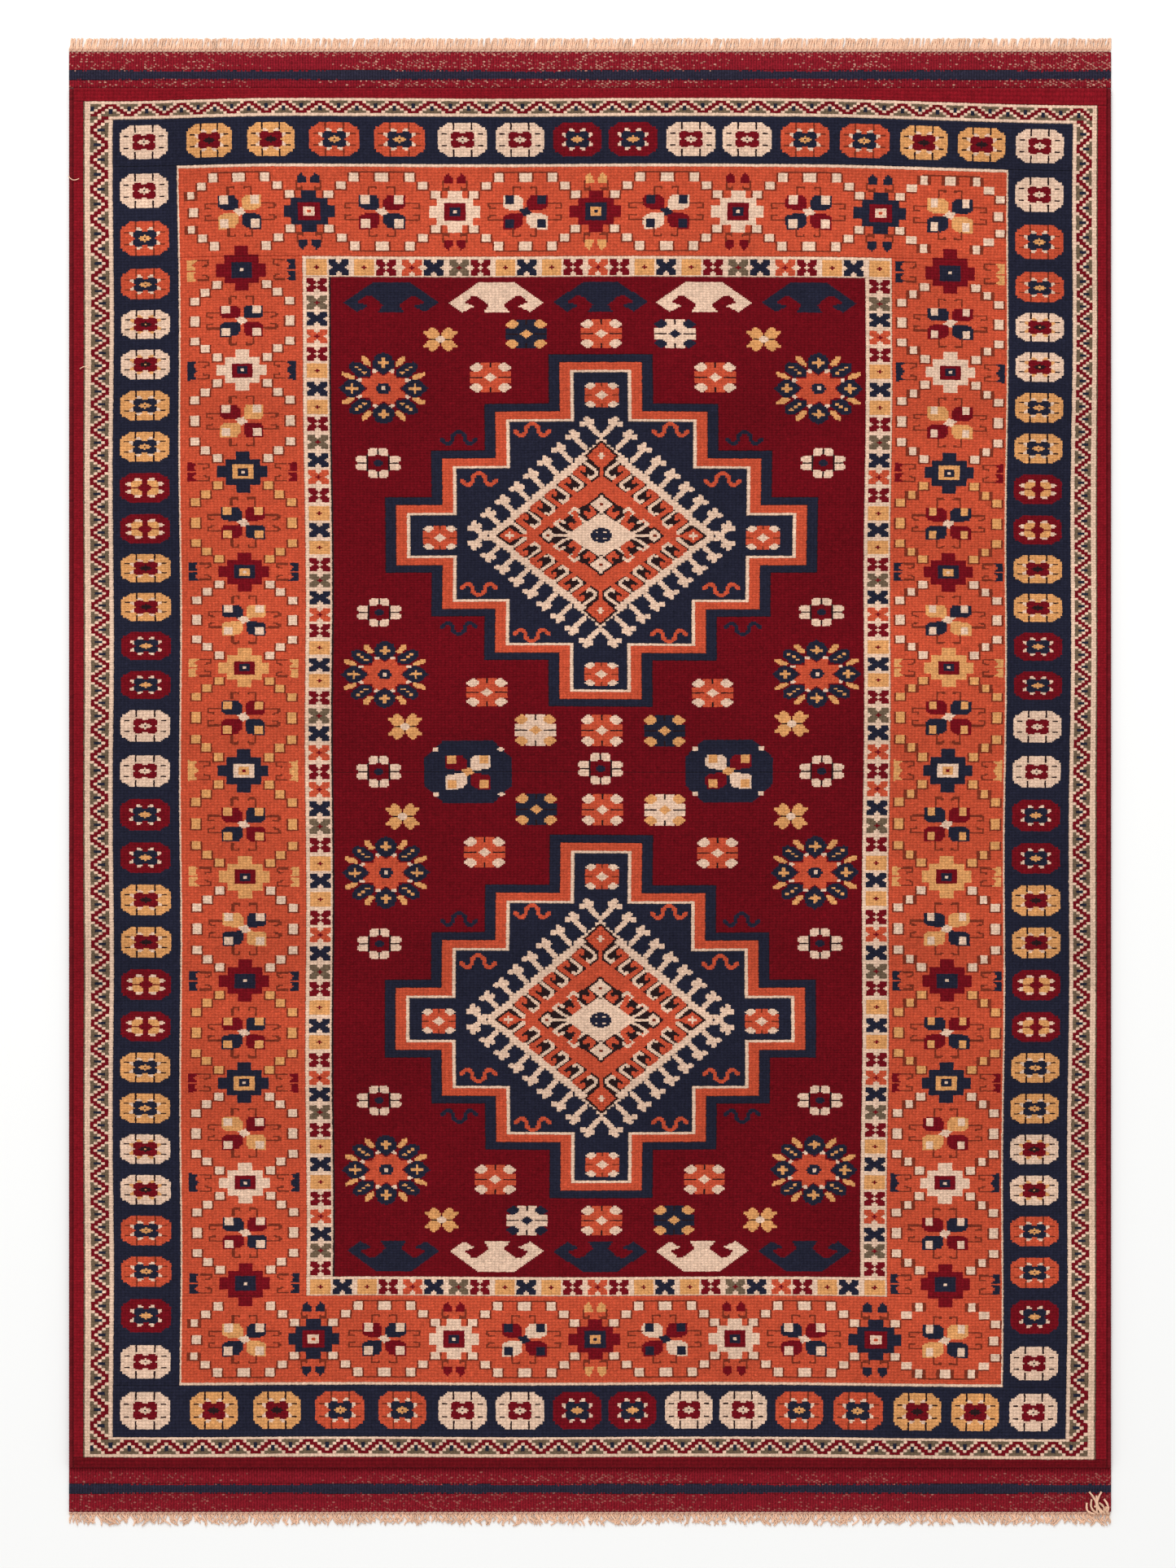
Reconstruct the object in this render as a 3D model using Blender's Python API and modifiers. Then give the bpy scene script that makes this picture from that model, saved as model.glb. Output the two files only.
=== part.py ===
"""Hand-knotted wool area rug, lying flat.

The frame is +Z up, +Y along the rug towards its far end, with the origin on the floor under
the rug's middle.  A woven ground carries every band of knotted pile.  Past the pile the same
warps run on through flat-woven ends and leave them as a short cut fringe.
"""
import bpy
import math

# ---------------------------------------------------------------- driving sizes, in metres
RUG_WIDTH = 1.280
RUG_LENGTH = 1.828

GAP = 0.0003                  # clearance left between pieces that touch
GROUND_THICKNESS = 0.0025     # warps, wefts and the backs of the knots
PILE_HEIGHT = 0.0065          # clipped wool above the ground
FLATWEAVE_THICKNESS = 0.0028  # weft-faced ends
TWINING_THICKNESS = 0.0034    # locking row of cord beside the fringe
FRINGE_THICKNESS = 0.0024
SELVEDGE_WIDTH = 0.006        # overcast side edge
SELVEDGE_THICKNESS = 0.0056
SELVEDGE_ROUNDING = 0.0016

# Flat-woven ends, from the fringe inwards
FRINGE_LENGTH = 0.0145
TWINING_WIDTH = 0.003
OUTER_FLATWEAVE = 0.022
STRIPE_WIDTH = 0.0125
INNER_FLATWEAVE_FAR = 0.0100
INNER_FLATWEAVE_NEAR = 0.0200
FRINGE_LOCK_PITCH = 0.0120    # one bundle of warp ends every this far
FRINGE_LOCK_GAP = 0.0016      # open gap between two bundles
FRINGE_ROOT = 0.0035          # undivided part of the fringe next to the twining

# Bands of pile from the outside in: widths at the left, right, far and near sides
PILE_BANDS = {
    "edge_band": (0.0125, 0.0120, 0.0130, 0.0120),
    "zigzag_guard": (0.0365, 0.0330, 0.0225, 0.0250),
    "rosette_border": (0.0810, 0.0785, 0.0580, 0.0635),
    "lattice_border": (0.1540, 0.1425, 0.1135, 0.1100),
    "dice_guard": (0.0325, 0.0325, 0.0255, 0.0235),
}

# The field and its two stepped medallions
FIELD_SIDE_MARGIN = 0.062     # field left open beside a medallion
FIELD_END_MARGIN = 0.0955     # field left open beyond the medallions
MEDALLION_SPACING = 0.157     # field left open between the two medallions
STEPS_ACROSS = (0.232, 0.528, 0.775, 1.0)   # corners of the steps, as shares of the half-width
STEPS_ALONG = (0.207, 0.455, 0.733, 1.0)    # and of the half-length, from the middle outwards
OUTLINE_WIDTH = 0.013
BAND_WIDTH = 0.017
DIAMOND_REACH = 0.62          # diamond inside the ground, as a share of the ground's half-size
DIAMOND_WIDTH = 0.013         # ivory frame of the diamond, measured along the rug's width

COLOURS = {
    "madder": (0.150, 0.007, 0.012),
    "navy": (0.014, 0.018, 0.038),
    "terracotta": (0.560, 0.080, 0.036),
    "ivory": (0.700, 0.520, 0.380),
    "undyed_warp": (0.720, 0.540, 0.400),
}
WOOL_ROUGHNESS = 0.95


# ---------------------------------------------------------------- scene, collection, materials
for old in list(bpy.data.objects):
    bpy.data.objects.remove(old, do_unlink=True)

rug = bpy.data.collections.new("area_rug")
bpy.context.scene.collection.children.link(rug)


def wool(colour_name):
    """Principled wool in one of the dyed colours, one material for each piece."""
    material = bpy.data.materials.new("wool_" + colour_name)
    material.use_nodes = True
    shader = material.node_tree.nodes["Principled BSDF"]
    shader.inputs["Base Color"].default_value = (*COLOURS[colour_name], 1.0)
    shader.inputs["Roughness"].default_value = WOOL_ROUGHNESS
    shader.inputs["Metallic"].default_value = 0.0
    return material


def keep(piece, name, colour_name):
    """Names a piece, gives it its wool and moves it to the rug's collection."""
    piece.name = name
    piece.data.name = name
    piece.data.materials.clear()
    piece.data.materials.append(wool(colour_name))
    for owner in list(piece.users_collection):
        owner.objects.unlink(piece)
    rug.objects.link(piece)
    return piece


def slab(name, colour_name, left, right, near, far, bottom, top):
    """Flat rectangular layer between nominal lines, drawn in by half a gap on its four sides."""
    size = (right - left - GAP, far - near - GAP, top - bottom)
    bpy.ops.mesh.primitive_cube_add(size=1.0)
    piece = bpy.context.object
    for corner in piece.data.vertices:
        corner.co = [value * length for value, length in zip(corner.co, size)]
    piece.location = ((left + right) / 2, (near + far) / 2, (bottom + top) / 2)
    return keep(piece, name, colour_name)


def plate(name, colour_name, loops, bottom, top, location=(0.0, 0.0)):
    """Flat plate of any outline: the first loop is its edge and the rest are its holes."""
    outline = bpy.data.curves.new(name, "CURVE")
    outline.dimensions = "2D"
    outline.fill_mode = "BOTH"
    outline.extrude = (top - bottom) / 2
    for loop in loops:
        spline = outline.splines.new("POLY")
        spline.points.add(len(loop) - 1)
        for point, (x, y) in zip(spline.points, loop):
            point.co = (x, y, 0.0, 1.0)
        spline.use_cyclic_u = True
    piece = bpy.data.objects.new(name, outline)
    bpy.context.scene.collection.objects.link(piece)
    piece.location = (*location, (bottom + top) / 2)
    return keep(piece, name, colour_name)


def rectangle(left, right, near, far):
    """Corner points of a rectangle, anticlockwise."""
    return [(left, near), (right, near), (right, far), (left, far)]


def mirrored_quarter(quarter):
    """Closed loop from the points of its first quarter, which run from the X to the Y axis."""
    back = quarter[::-1]
    loop = list(quarter)
    loop += [(-x, y) for x, y in back]
    loop += [(-x, -y) for x, y in quarter]
    loop += [(x, -y) for x, y in back]
    return loop


def stepped_loop(half_width, half_length, inset):
    """Octagon with staircase corners, moved inwards by inset on every side."""
    across = [half_width * share - inset for share in reversed(STEPS_ACROSS)]
    along = [half_length * share - inset for share in STEPS_ALONG]
    quarter = []
    for step, y in enumerate(along):
        quarter += [(x, y) for x in across[step:step + 2]]
    return mirrored_quarter(quarter)


def diamond_loop(half_width, half_length):
    """Plain diamond with a corner on each axis."""
    return [(half_width, 0.0), (0.0, half_length), (-half_width, 0.0), (0.0, -half_length)]


# ---------------------------------------------------------------- lines shared by the pieces
PILE_BOTTOM = GROUND_THICKNESS + GAP
PILE_TOP = PILE_BOTTOM + PILE_HEIGHT
LEFT_SIDE = -(RUG_WIDTH + GAP) / 2
RIGHT_SIDE = (RUG_WIDTH + GAP) / 2
NEAR_END = -(RUG_LENGTH + GAP) / 2
FAR_END = (RUG_LENGTH + GAP) / 2
WOVEN_LEFT = LEFT_SIDE + SELVEDGE_WIDTH
WOVEN_RIGHT = RIGHT_SIDE - SELVEDGE_WIDTH


def comb(length, width, lock_length, root_edge):
    """Outline of a fringe: bundles of cut warp ends standing on a straight root along y = 0."""
    count = max(1, round(width / FRINGE_LOCK_PITCH))
    pitch = width / count
    points = []
    for k in range(count):
        start = -width / 2 + k * pitch
        points += [(start + FRINGE_LOCK_GAP / 2, root_edge * (length - lock_length)),
                   (start + FRINGE_LOCK_GAP / 2, root_edge * length),
                   (start + pitch - FRINGE_LOCK_GAP / 2, root_edge * length),
                   (start + pitch - FRINGE_LOCK_GAP / 2, root_edge * (length - lock_length))]
    return points + [(width / 2, 0.0), (-width / 2, 0.0)]


def woven_end(end, inner_flatweave, outward):
    """Fringe, twining and three flat-woven bands at one end; returns where the pile starts."""
    edge = FAR_END if outward > 0 else NEAR_END
    root_line = edge - outward * FRINGE_LENGTH
    fringe_outline = comb(FRINGE_LENGTH - GAP, RUG_WIDTH, FRINGE_LENGTH - GAP - FRINGE_ROOT, outward)
    plate("fringe_" + end, "undyed_warp", [fringe_outline], 0.0, FRINGE_THICKNESS,
          (0.0, root_line + outward * GAP / 2))
    line = root_line
    for name, colour_name, width, thickness in (
            ("twining_" + end, "undyed_warp", TWINING_WIDTH, TWINING_THICKNESS),
            ("flatweave_outer_" + end, "madder", OUTER_FLATWEAVE, FLATWEAVE_THICKNESS),
            ("flatweave_stripe_" + end, "navy", STRIPE_WIDTH, FLATWEAVE_THICKNESS),
            ("flatweave_inner_" + end, "madder", inner_flatweave, FLATWEAVE_THICKNESS)):
        next_line = line - outward * width
        slab(name, colour_name, LEFT_SIDE, RIGHT_SIDE, min(line, next_line), max(line, next_line),
             0.0, thickness)
        line = next_line
    return line


# ---------------------------------------------------------------- woven parts
pile_far = woven_end("far", INNER_FLATWEAVE_FAR, 1)
pile_near = woven_end("near", INNER_FLATWEAVE_NEAR, -1)

slab("ground_weave", "undyed_warp", WOVEN_LEFT, WOVEN_RIGHT, pile_near, pile_far,
     0.0, GROUND_THICKNESS)

for side, inner, outer in (("left", LEFT_SIDE, WOVEN_LEFT), ("right", WOVEN_RIGHT, RIGHT_SIDE)):
    selvedge = slab("selvedge_" + side, "madder", inner, outer, pile_near, pile_far,
                    0.0, SELVEDGE_THICKNESS)
    rounding = selvedge.modifiers.new("rounding", "BEVEL")
    rounding.width = SELVEDGE_ROUNDING
    rounding.segments = 3
    rounding.limit_method = "ANGLE"

# ---------------------------------------------------------------- knotted borders
BAND_COLOURS = {
    "edge_band": "madder",
    "zigzag_guard": "ivory",
    "rosette_border": "navy",
    "lattice_border": "terracotta",
    "dice_guard": "ivory",
}

left, right, near, far = WOVEN_LEFT, WOVEN_RIGHT, pile_near, pile_far
for band, (left_width, right_width, far_width, near_width) in PILE_BANDS.items():
    colour = BAND_COLOURS[band]
    inner_left, inner_right = left + left_width, right - right_width
    inner_near, inner_far = near + near_width, far - far_width
    slab(band + "_far", colour, left, right, inner_far, far, PILE_BOTTOM, PILE_TOP)
    slab(band + "_near", colour, left, right, near, inner_near, PILE_BOTTOM, PILE_TOP)
    slab(band + "_left", colour, left, inner_left, inner_near, inner_far, PILE_BOTTOM, PILE_TOP)
    slab(band + "_right", colour, inner_right, right, inner_near, inner_far, PILE_BOTTOM, PILE_TOP)
    left, right, near, far = inner_left, inner_right, inner_near, inner_far

# ---------------------------------------------------------------- field and medallions
field_middle = ((left + right) / 2, (near + far) / 2)
half_gap = GAP / 2
medallion_half_width = (right - left) / 2 - FIELD_SIDE_MARGIN
medallion_half_length = ((far - near) - 2 * FIELD_END_MARGIN - MEDALLION_SPACING) / 4
medallion_offset = (MEDALLION_SPACING / 2) + medallion_half_length
ground_inset = OUTLINE_WIDTH + BAND_WIDTH
diamond_half_width = (medallion_half_width - ground_inset) * DIAMOND_REACH
diamond_half_length = (medallion_half_length - ground_inset) * DIAMOND_REACH
diamond_slope = diamond_half_length / diamond_half_width
gap_along_width = half_gap * math.sqrt(1 + diamond_slope ** 2) / diamond_slope


def medallion_diamond(reduction):
    """Diamond of the medallion's own slope, its half-width smaller by reduction."""
    half_width = diamond_half_width - reduction
    return diamond_loop(half_width, half_width * diamond_slope)


def steps(inset):
    """Stepped edge of the medallion, moved inwards by inset."""
    return stepped_loop(medallion_half_width, medallion_half_length, inset)


for end, outward in (("far", 1), ("near", -1)):
    middle = (field_middle[0], field_middle[1] + outward * medallion_offset)
    half_field = rectangle(left + half_gap - middle[0], right - half_gap - middle[0],
                           half_gap - medallion_offset,
                           (far - near) / 2 - half_gap - medallion_offset)
    edge_loop = [(x, outward * y) for x, y in half_field]
    plate("field_" + end, "madder", [edge_loop, steps(-half_gap)], PILE_BOTTOM, PILE_TOP, middle)
    plate("medallion_outline_" + end, "navy",
          [steps(half_gap), steps(OUTLINE_WIDTH - half_gap)], PILE_BOTTOM, PILE_TOP, middle)
    plate("medallion_band_" + end, "terracotta",
          [steps(OUTLINE_WIDTH + half_gap), steps(ground_inset - half_gap)],
          PILE_BOTTOM, PILE_TOP, middle)
    plate("medallion_ground_" + end, "navy",
          [steps(ground_inset + half_gap), medallion_diamond(-gap_along_width)],
          PILE_BOTTOM, PILE_TOP, middle)
    plate("medallion_diamond_" + end, "ivory",
          [medallion_diamond(gap_along_width), medallion_diamond(DIAMOND_WIDTH - gap_along_width)],
          PILE_BOTTOM, PILE_TOP, middle)
    plate("medallion_heart_" + end, "terracotta",
          [medallion_diamond(DIAMOND_WIDTH + gap_along_width)], PILE_BOTTOM, PILE_TOP, middle)
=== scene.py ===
import math

import bpy
import numpy as np
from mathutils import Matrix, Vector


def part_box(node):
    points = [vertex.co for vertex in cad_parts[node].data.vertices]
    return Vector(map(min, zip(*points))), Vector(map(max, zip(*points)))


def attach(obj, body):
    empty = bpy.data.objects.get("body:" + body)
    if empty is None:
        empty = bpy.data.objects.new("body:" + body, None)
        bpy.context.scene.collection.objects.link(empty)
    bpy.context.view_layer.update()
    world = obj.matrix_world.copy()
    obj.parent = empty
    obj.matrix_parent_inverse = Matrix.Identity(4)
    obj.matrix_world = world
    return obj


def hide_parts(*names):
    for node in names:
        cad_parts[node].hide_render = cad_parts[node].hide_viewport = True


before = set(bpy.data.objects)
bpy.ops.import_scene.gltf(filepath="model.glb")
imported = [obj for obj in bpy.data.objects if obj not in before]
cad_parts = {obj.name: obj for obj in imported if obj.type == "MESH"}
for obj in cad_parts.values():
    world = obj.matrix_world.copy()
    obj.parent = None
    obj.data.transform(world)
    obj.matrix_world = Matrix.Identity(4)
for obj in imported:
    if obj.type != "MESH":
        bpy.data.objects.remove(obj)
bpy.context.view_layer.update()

luck = np.random.default_rng(20)


# ---------------------------------------------------------------- camera, floor and light
# The rug lies on a plain pale floor and is seen from straight above through a long lens, under
# a large soft lamp beyond its far end, a little to the left, and an even pale sky.
CAMERA_HEIGHT = 7.0
VIEW_LENGTH = 1.927          # length of floor that fills the picture from top to bottom
VIEW_CENTRE = (-0.0025, -0.0025)
FILM_LENGTH = 36.0
FLOOR_SIZE = 30.0

camera_data = bpy.data.cameras.new("camera")
camera_data.sensor_width = FILM_LENGTH
camera_data.lens = FILM_LENGTH * CAMERA_HEIGHT / VIEW_LENGTH
camera_data.clip_end = 60.0
camera = bpy.data.objects.new("camera", camera_data)
camera.location = (*VIEW_CENTRE, CAMERA_HEIGHT)
bpy.context.scene.collection.objects.link(camera)
bpy.context.scene.camera = camera
bpy.context.scene.view_settings.view_transform = "Standard"

bpy.ops.mesh.primitive_plane_add(size=FLOOR_SIZE)
floor = bpy.context.object
floor.name = "floor"
floor_paint = bpy.data.materials.new("floor_paint")
floor_paint.use_nodes = True
floor_shader = floor_paint.node_tree.nodes["Principled BSDF"]
floor_shader.inputs["Base Color"].default_value = (0.95, 0.95, 0.94, 1)
floor_shader.inputs["Roughness"].default_value = 0.8
floor.data.materials.append(floor_paint)

lamp_data = bpy.data.lights.new("soft_lamp", "AREA")
lamp_data.shape = "DISK"
lamp_data.size = 2.4
lamp_data.energy = 130.0
lamp = bpy.data.objects.new("soft_lamp", lamp_data)
lamp.location = (-0.8, 3.6, 4.2)
lamp.rotation_euler = (math.radians(-40), math.radians(-8), 0.0)
bpy.context.scene.collection.objects.link(lamp)

sky = bpy.data.worlds.new("studio")
sky.use_nodes = True
sky_light = sky.node_tree.nodes["Background"]
sky_light.inputs["Color"].default_value = (1.0, 1.0, 1.0, 1.0)
sky_light.inputs["Strength"].default_value = 0.78
bpy.context.scene.world = sky


# ---------------------------------------------------------------- rows and columns of knots
# Each knot is tied round a pair of warps, row after row from the near end, and each row is
# beaten down with a comb. The beat was uneven, so rows lie closer in some stretches of the
# field than in others, and each band has its own count of knots across it.
BANDS = ("edge_band", "zigzag_guard", "rosette_border", "lattice_border", "dice_guard")
KNOTS = {                    # columns at the left and right, rows at the far and near end
    "edge_band": (3, 3, 4, 3),
    "zigzag_guard": (9, 9, 7, 7),
    "rosette_border": (18, 18, 16, 16),
    "lattice_border": (36, 33, 31, 31),
    "dice_guard": (7, 7, 7, 7),
}
FIELD_COLUMNS = 149
FIELD_BEAT = (               # rows in a stretch of the field, and the stretch's length
    (31, 0.0950), (70, 0.2218), (70, 0.2092), (47, 0.1570), (70, 0.2265), (70, 0.2185), (31, 0.0970))
GUARD_SPACING = {            # the guard's own uneven spacing, from its outer edge inwards
    "zigzag_guard_left": (0.4, 0.85, 0.85, 1.1, 1.1, 1.1, 1.1, 1.1, 1.3),
    "zigzag_guard_right": (0.4, 0.85, 0.85, 1.1, 1.1, 1.1, 1.1, 1.1, 1.3),
    "zigzag_guard_far": (3.6, 3.2, 3.2, 3.2, 3.2, 3.2, 4.4),
    "zigzag_guard_near": (4.5, 3.75, 3.75, 3.75, 3.75, 3.75, 3.2),
}


def band_order(first, last, field_nodes):
    """Names of the bands met when crossing the rug from one side to the other."""
    outside_in = [band + "_" + first for band in BANDS]
    return outside_in + [field_nodes] + [band + "_" + last for band in reversed(BANDS)]


def edge_lines(order, axis):
    """Lines between neighbouring bands: the middle of the gap between two CAD boxes."""
    spans = []
    for name in order:
        lows, highs = zip(*[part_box(node) for node in name.split()])
        spans.append((min(low[axis] for low in lows), max(high[axis] for high in highs)))
    if axis == 1:
        spans = [(high, low) for low, high in spans]
    between = [(a[1] + b[0]) / 2 for a, b in zip(spans, spans[1:])]
    return [spans[0][0]] + between + [spans[-1][1]]


def knot_lines(order, axis, spacings):
    """Every line between knots, and the first and last knot of each band."""
    edges = edge_lines(order, axis)
    lines, places, start = [np.array([edges[0]])], {}, 0
    for name, spacing, begin, end in zip(order, spacings, edges, edges[1:]):
        steps = np.cumsum(np.asarray(spacing, float))
        lines.append(begin + (end - begin) * steps / steps[-1])
        band = "field" if name.startswith("field") else name
        places[band] = (start, start + len(steps))
        start += len(steps)
    return np.concatenate(lines), places


def spacing_of(name, count, reverse=False):
    """Relative widths of a band's knots, even unless the band has its own spacing."""
    widths = GUARD_SPACING.get(name, (1.0,) * count)
    return widths[::-1] if reverse else widths


column_order = band_order("left", "right", "field_far")
row_order = band_order("far", "near", "field_far field_near")
column_spacing = ([spacing_of(band + "_left", KNOTS[band][0]) for band in BANDS]
                  + [(1.0,) * FIELD_COLUMNS]
                  + [spacing_of(band + "_right", KNOTS[band][1], True) for band in reversed(BANDS)])
row_spacing = ([spacing_of(band + "_far", KNOTS[band][2]) for band in BANDS]
               + [sum(((length / count,) * count for count, length in FIELD_BEAT), ())]
               + [spacing_of(band + "_near", KNOTS[band][3], True) for band in reversed(BANDS)])
column_lines, columns = knot_lines(column_order, 0, column_spacing)
row_lines, rows = knot_lines(row_order, 1, row_spacing)
COLUMNS = len(column_lines) - 1
ROWS = len(row_lines) - 1

# The weaver's chart holds one dye letter for each half knot, so a figure can have an edge or a
# thin line inside a knot. Places in it are counted in knots from the far left corner.
DYES = "RENIOGMKBD"
chart = np.full((2 * ROWS, 2 * COLUMNS), DYES.index("R"), np.uint8)


def lay(dye, left, right, far, near):
    """Fills a rectangle of the chart."""
    chart[round(2 * far):round(2 * near), round(2 * left):round(2 * right)] = DYES.index(dye)


def middle(name):
    """Middle of a band or of the field, in knots across or down."""
    first, last = (columns if name in columns else rows)[name]
    return (first + last) / 2


# ---------------------------------------------------------------- edge band
# The outermost pile on all four sides: plain madder wool, clipped with the rest. Like every
# piece of pile it is a mat of separate knots, tied through the ground weave.
PILE_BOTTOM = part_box("edge_band_left")[0][2]
PILE_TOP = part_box("edge_band_left")[1][2]
ROW_VALLEY = 0.0010          # how far the pile sinks between two rows
COLUMN_VALLEY = 0.0006       # and between two columns
TUFT_SCATTER = 0.00022       # unevenness of the clipped tufts
SIDE_SCATTER = 0.00022       # how far a knot leans sideways
UNDULATION = 0.0004          # broad unevenness of the clipping
SEAM = 0.00005               # each mat is drawn in by this much along its outline
LEAN = 0.0090                # the right borders lean by this much from end to end
PINCH = 0.0060               # the left borders swing out by this much at the far end
SAG = 0.0095                 # the far right corner hangs low by this much
LEFT_SAG = 0.0035            # and the far left corner by this much
WAVER = 0.0008               # waviness of the lines that run down the rug
RIPPLE = 0.0005              # and of those that run across it
# Painted light and shade on the pile's relief: each top corner's colour is lifted at a knot's tip and
# darkened between rows, between columns, and most where both meet.
TIP_PAINTED_LIGHT, ROW_PAINTED_SHADE, COLUMN_PAINTED_SHADE, PIT_PAINTED_SHADE = 1.05, 0.78, 0.86, 0.66
WALL_PAINTED_SHADE = 0.8
KNOT_WIDTH, KNOT_LENGTH = 0.0044, 0.0032
COLOUR_SCATTER = 0.05        # difference in shade from knot to knot
TUFT_COLOUR_SCATTER = 0.07   # and between the two ends of a knot
NEAR_EDGE_PAINTED_SHADE = 0.66       # painted shade: the near edge band's knots are darkened, standing in for the shade on the pile's near edge
FIBRE_SHADES = (0.74, 1.22)  # darkest and palest fibre of a knot
LEAN_PAINTED_LIGHT = 0.05                # painted light and shade: patches where the pile leans towards or away from the light
ABRASH = 0.045               # slow change of shade from one stretch of rows to the next
DYE_LOT = 13                 # rows in a stretch


def dye_colour(red, green, blue):
    """Linear colour from the usual 0 to 255 scale."""
    display = np.array([red, green, blue]) / 255
    return np.where(display <= 0.04045, display / 12.92, ((display + 0.055) / 1.055) ** 2.4)


DYE_COLOURS = np.array([
    dye_colour(120, 14, 26),      # R madder
    dye_colour(138, 20, 32),      # E bright madder of the edges
    dye_colour(36, 37, 54),       # N navy
    dye_colour(240, 203, 176),    # I ivory
    dye_colour(208, 84, 55),      # O terracotta
    dye_colour(230, 163, 101),    # G gold
    dye_colour(116, 96, 76),      # M moss
    dye_colour(44, 26, 28),       # K corroded dark brown
    dye_colour(128, 52, 34),      # B thin brown line
    dye_colour(112, 10, 22),      # D deep madder of the field
])

half_across = np.interp(np.arange(2 * COLUMNS + 1) / 2, np.arange(COLUMNS + 1), column_lines)
half_along = np.interp(np.arange(2 * ROWS + 1) / 2, np.arange(ROWS + 1), row_lines)
tuft_x, tuft_y = np.meshgrid(half_across, half_along)


def ease(values, start, end):
    """Smooth rise from 0 at start to 1 at end: three squares of the share less two cubes."""
    share = np.clip((values - start) / (end - start), 0, 1)
    return share * share * (3 - 2 * share)


# No line on the rug is quite straight: the borders wander as far as the loom let them. Each
# share here is 1 where the borders wander and eases to 0 in the field and at the rug's edges.
down_share = np.clip((tuft_y[0, 0] - tuft_y) / (tuft_y[0, 0] - tuft_y[-1, 0]), 0, 1)
right_borders = ease(tuft_x, 0.0, 0.33) * (1 - ease(tuft_x, 0.60, 0.634))
left_borders = ease(-tuft_x, 0.15, 0.32) * (1 - ease(-tuft_x, 0.40, 0.60))
low_corner = ease(tuft_x, 0.25, 0.60)
held = ease(tuft_y[0, 0] - tuft_y, 0, 0.014) * ease(tuft_y - tuft_y[-1, 0], 0, 0.012)
lean = right_borders * LEAN * (0.45 - down_share)
pinch = left_borders * (0.002 * down_share - PINCH * np.exp(-(down_share / 0.2) ** 2))
left_corner = ease(-tuft_x, 0.38, 0.60)
far_end = 1 - ease(down_share, 0, 0.45)
sag = (0.0002 - SAG * low_corner - LEFT_SAG * left_corner) * far_end * held
lift = (0.0012 - 0.0035 * low_corner) * ease(down_share, 0.7, 1) * held
waver = WAVER * np.sin(8.6 * math.pi * down_share + 5 * tuft_x) * ease(0.63 - np.abs(tuft_x), 0, 0.02)
ripple = RIPPLE * np.sin(14 * tuft_x + 6 * down_share) * held
inner = ease(0.634 - np.abs(tuft_x), 0, 0.004) * held
tuft_x = tuft_x + lean + pinch + waver
tuft_y = tuft_y + sag + lift + ripple
free = (inner > 1e-6).astype(float)
tuft_x += luck.normal(0.0, SIDE_SCATTER, tuft_x.shape) * free
tuft_y += luck.normal(0.0, SIDE_SCATTER * 0.8, tuft_x.shape) * free

row_index, column_index = np.indices(tuft_x.shape)
between_rows, between_columns = row_index % 2 == 0, column_index % 2 == 0
across_swell = np.sin(tuft_x * 31 + 1.7 * np.sin(tuft_y * 9))
along_swell = np.sin(tuft_y * 23 + 2.1 * np.sin(tuft_x * 13))
broad = (across_swell + along_swell) / 2
tuft_z = PILE_TOP - 0.0003 + UNDULATION * broad + luck.normal(0.0, TUFT_SCATTER, tuft_x.shape)
tuft_z -= ROW_VALLEY * between_rows + COLUMN_VALLEY * between_columns
painted_valley_light = np.select([between_rows & between_columns, between_rows, between_columns],
                         [PIT_PAINTED_SHADE, ROW_PAINTED_SHADE, COLUMN_PAINTED_SHADE], TIP_PAINTED_LIGHT)

dye_lots = np.arange(0, ROWS + DYE_LOT, DYE_LOT)
stretch = np.interp(np.arange(ROWS), dye_lots, luck.normal(0.0, ABRASH, len(dye_lots)))
# Random tone from knot to knot and from one dye lot to the next; the near edge band is then darkened as
# painted shade.
knot_tone_and_edge_shade = 1 + stretch[:, None] + luck.normal(0.0, COLOUR_SCATTER, (ROWS, COLUMNS))
knot_tone_and_edge_shade[rows["edge_band_near"][0]:] *= NEAR_EDGE_PAINTED_SHADE
tuft_tone_and_painted_light = np.repeat(np.repeat(knot_tone_and_edge_shade, 2, 0), 2, 1)
# Painted light and shade follow the broad swell of the clipping, on top of each knot's own tone.
tuft_tone_and_painted_light *= 1 + LEAN_PAINTED_LIGHT * broad[:-1, :-1]
tuft_tone_and_painted_light *= luck.normal(1.0, TUFT_COLOUR_SCATTER, tuft_tone_and_painted_light.shape)


def mesh_piece(name, vertices, sizes, corners, colours, places):
    """Object from flat arrays: corners per face, corner vertices, corner colours and UVs."""
    mesh = bpy.data.meshes.new(name)
    mesh.vertices.add(len(vertices))
    mesh.vertices.foreach_set("co", np.asarray(vertices, np.float32).ravel())
    mesh.loops.add(len(corners))
    mesh.loops.foreach_set("vertex_index", np.asarray(corners, np.int32))
    mesh.polygons.add(len(sizes))
    mesh.polygons.foreach_set("loop_start", np.concatenate([[0], np.cumsum(sizes)[:-1]]).astype(np.int32))
    mesh.update(calc_edges=True)
    paint = mesh.color_attributes.new("dye", "FLOAT_COLOR", "CORNER")
    opaque = np.column_stack([colours, np.ones(len(corners))])
    paint.data.foreach_set("color", opaque.astype(np.float32).ravel())
    layout = mesh.uv_layers.new(name="OFBake")
    layout.data.foreach_set("uv", np.asarray(places, np.float32).ravel())
    mesh.validate()
    piece = bpy.data.objects.new(name, mesh)
    bpy.context.scene.collection.objects.link(piece)
    return piece


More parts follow.
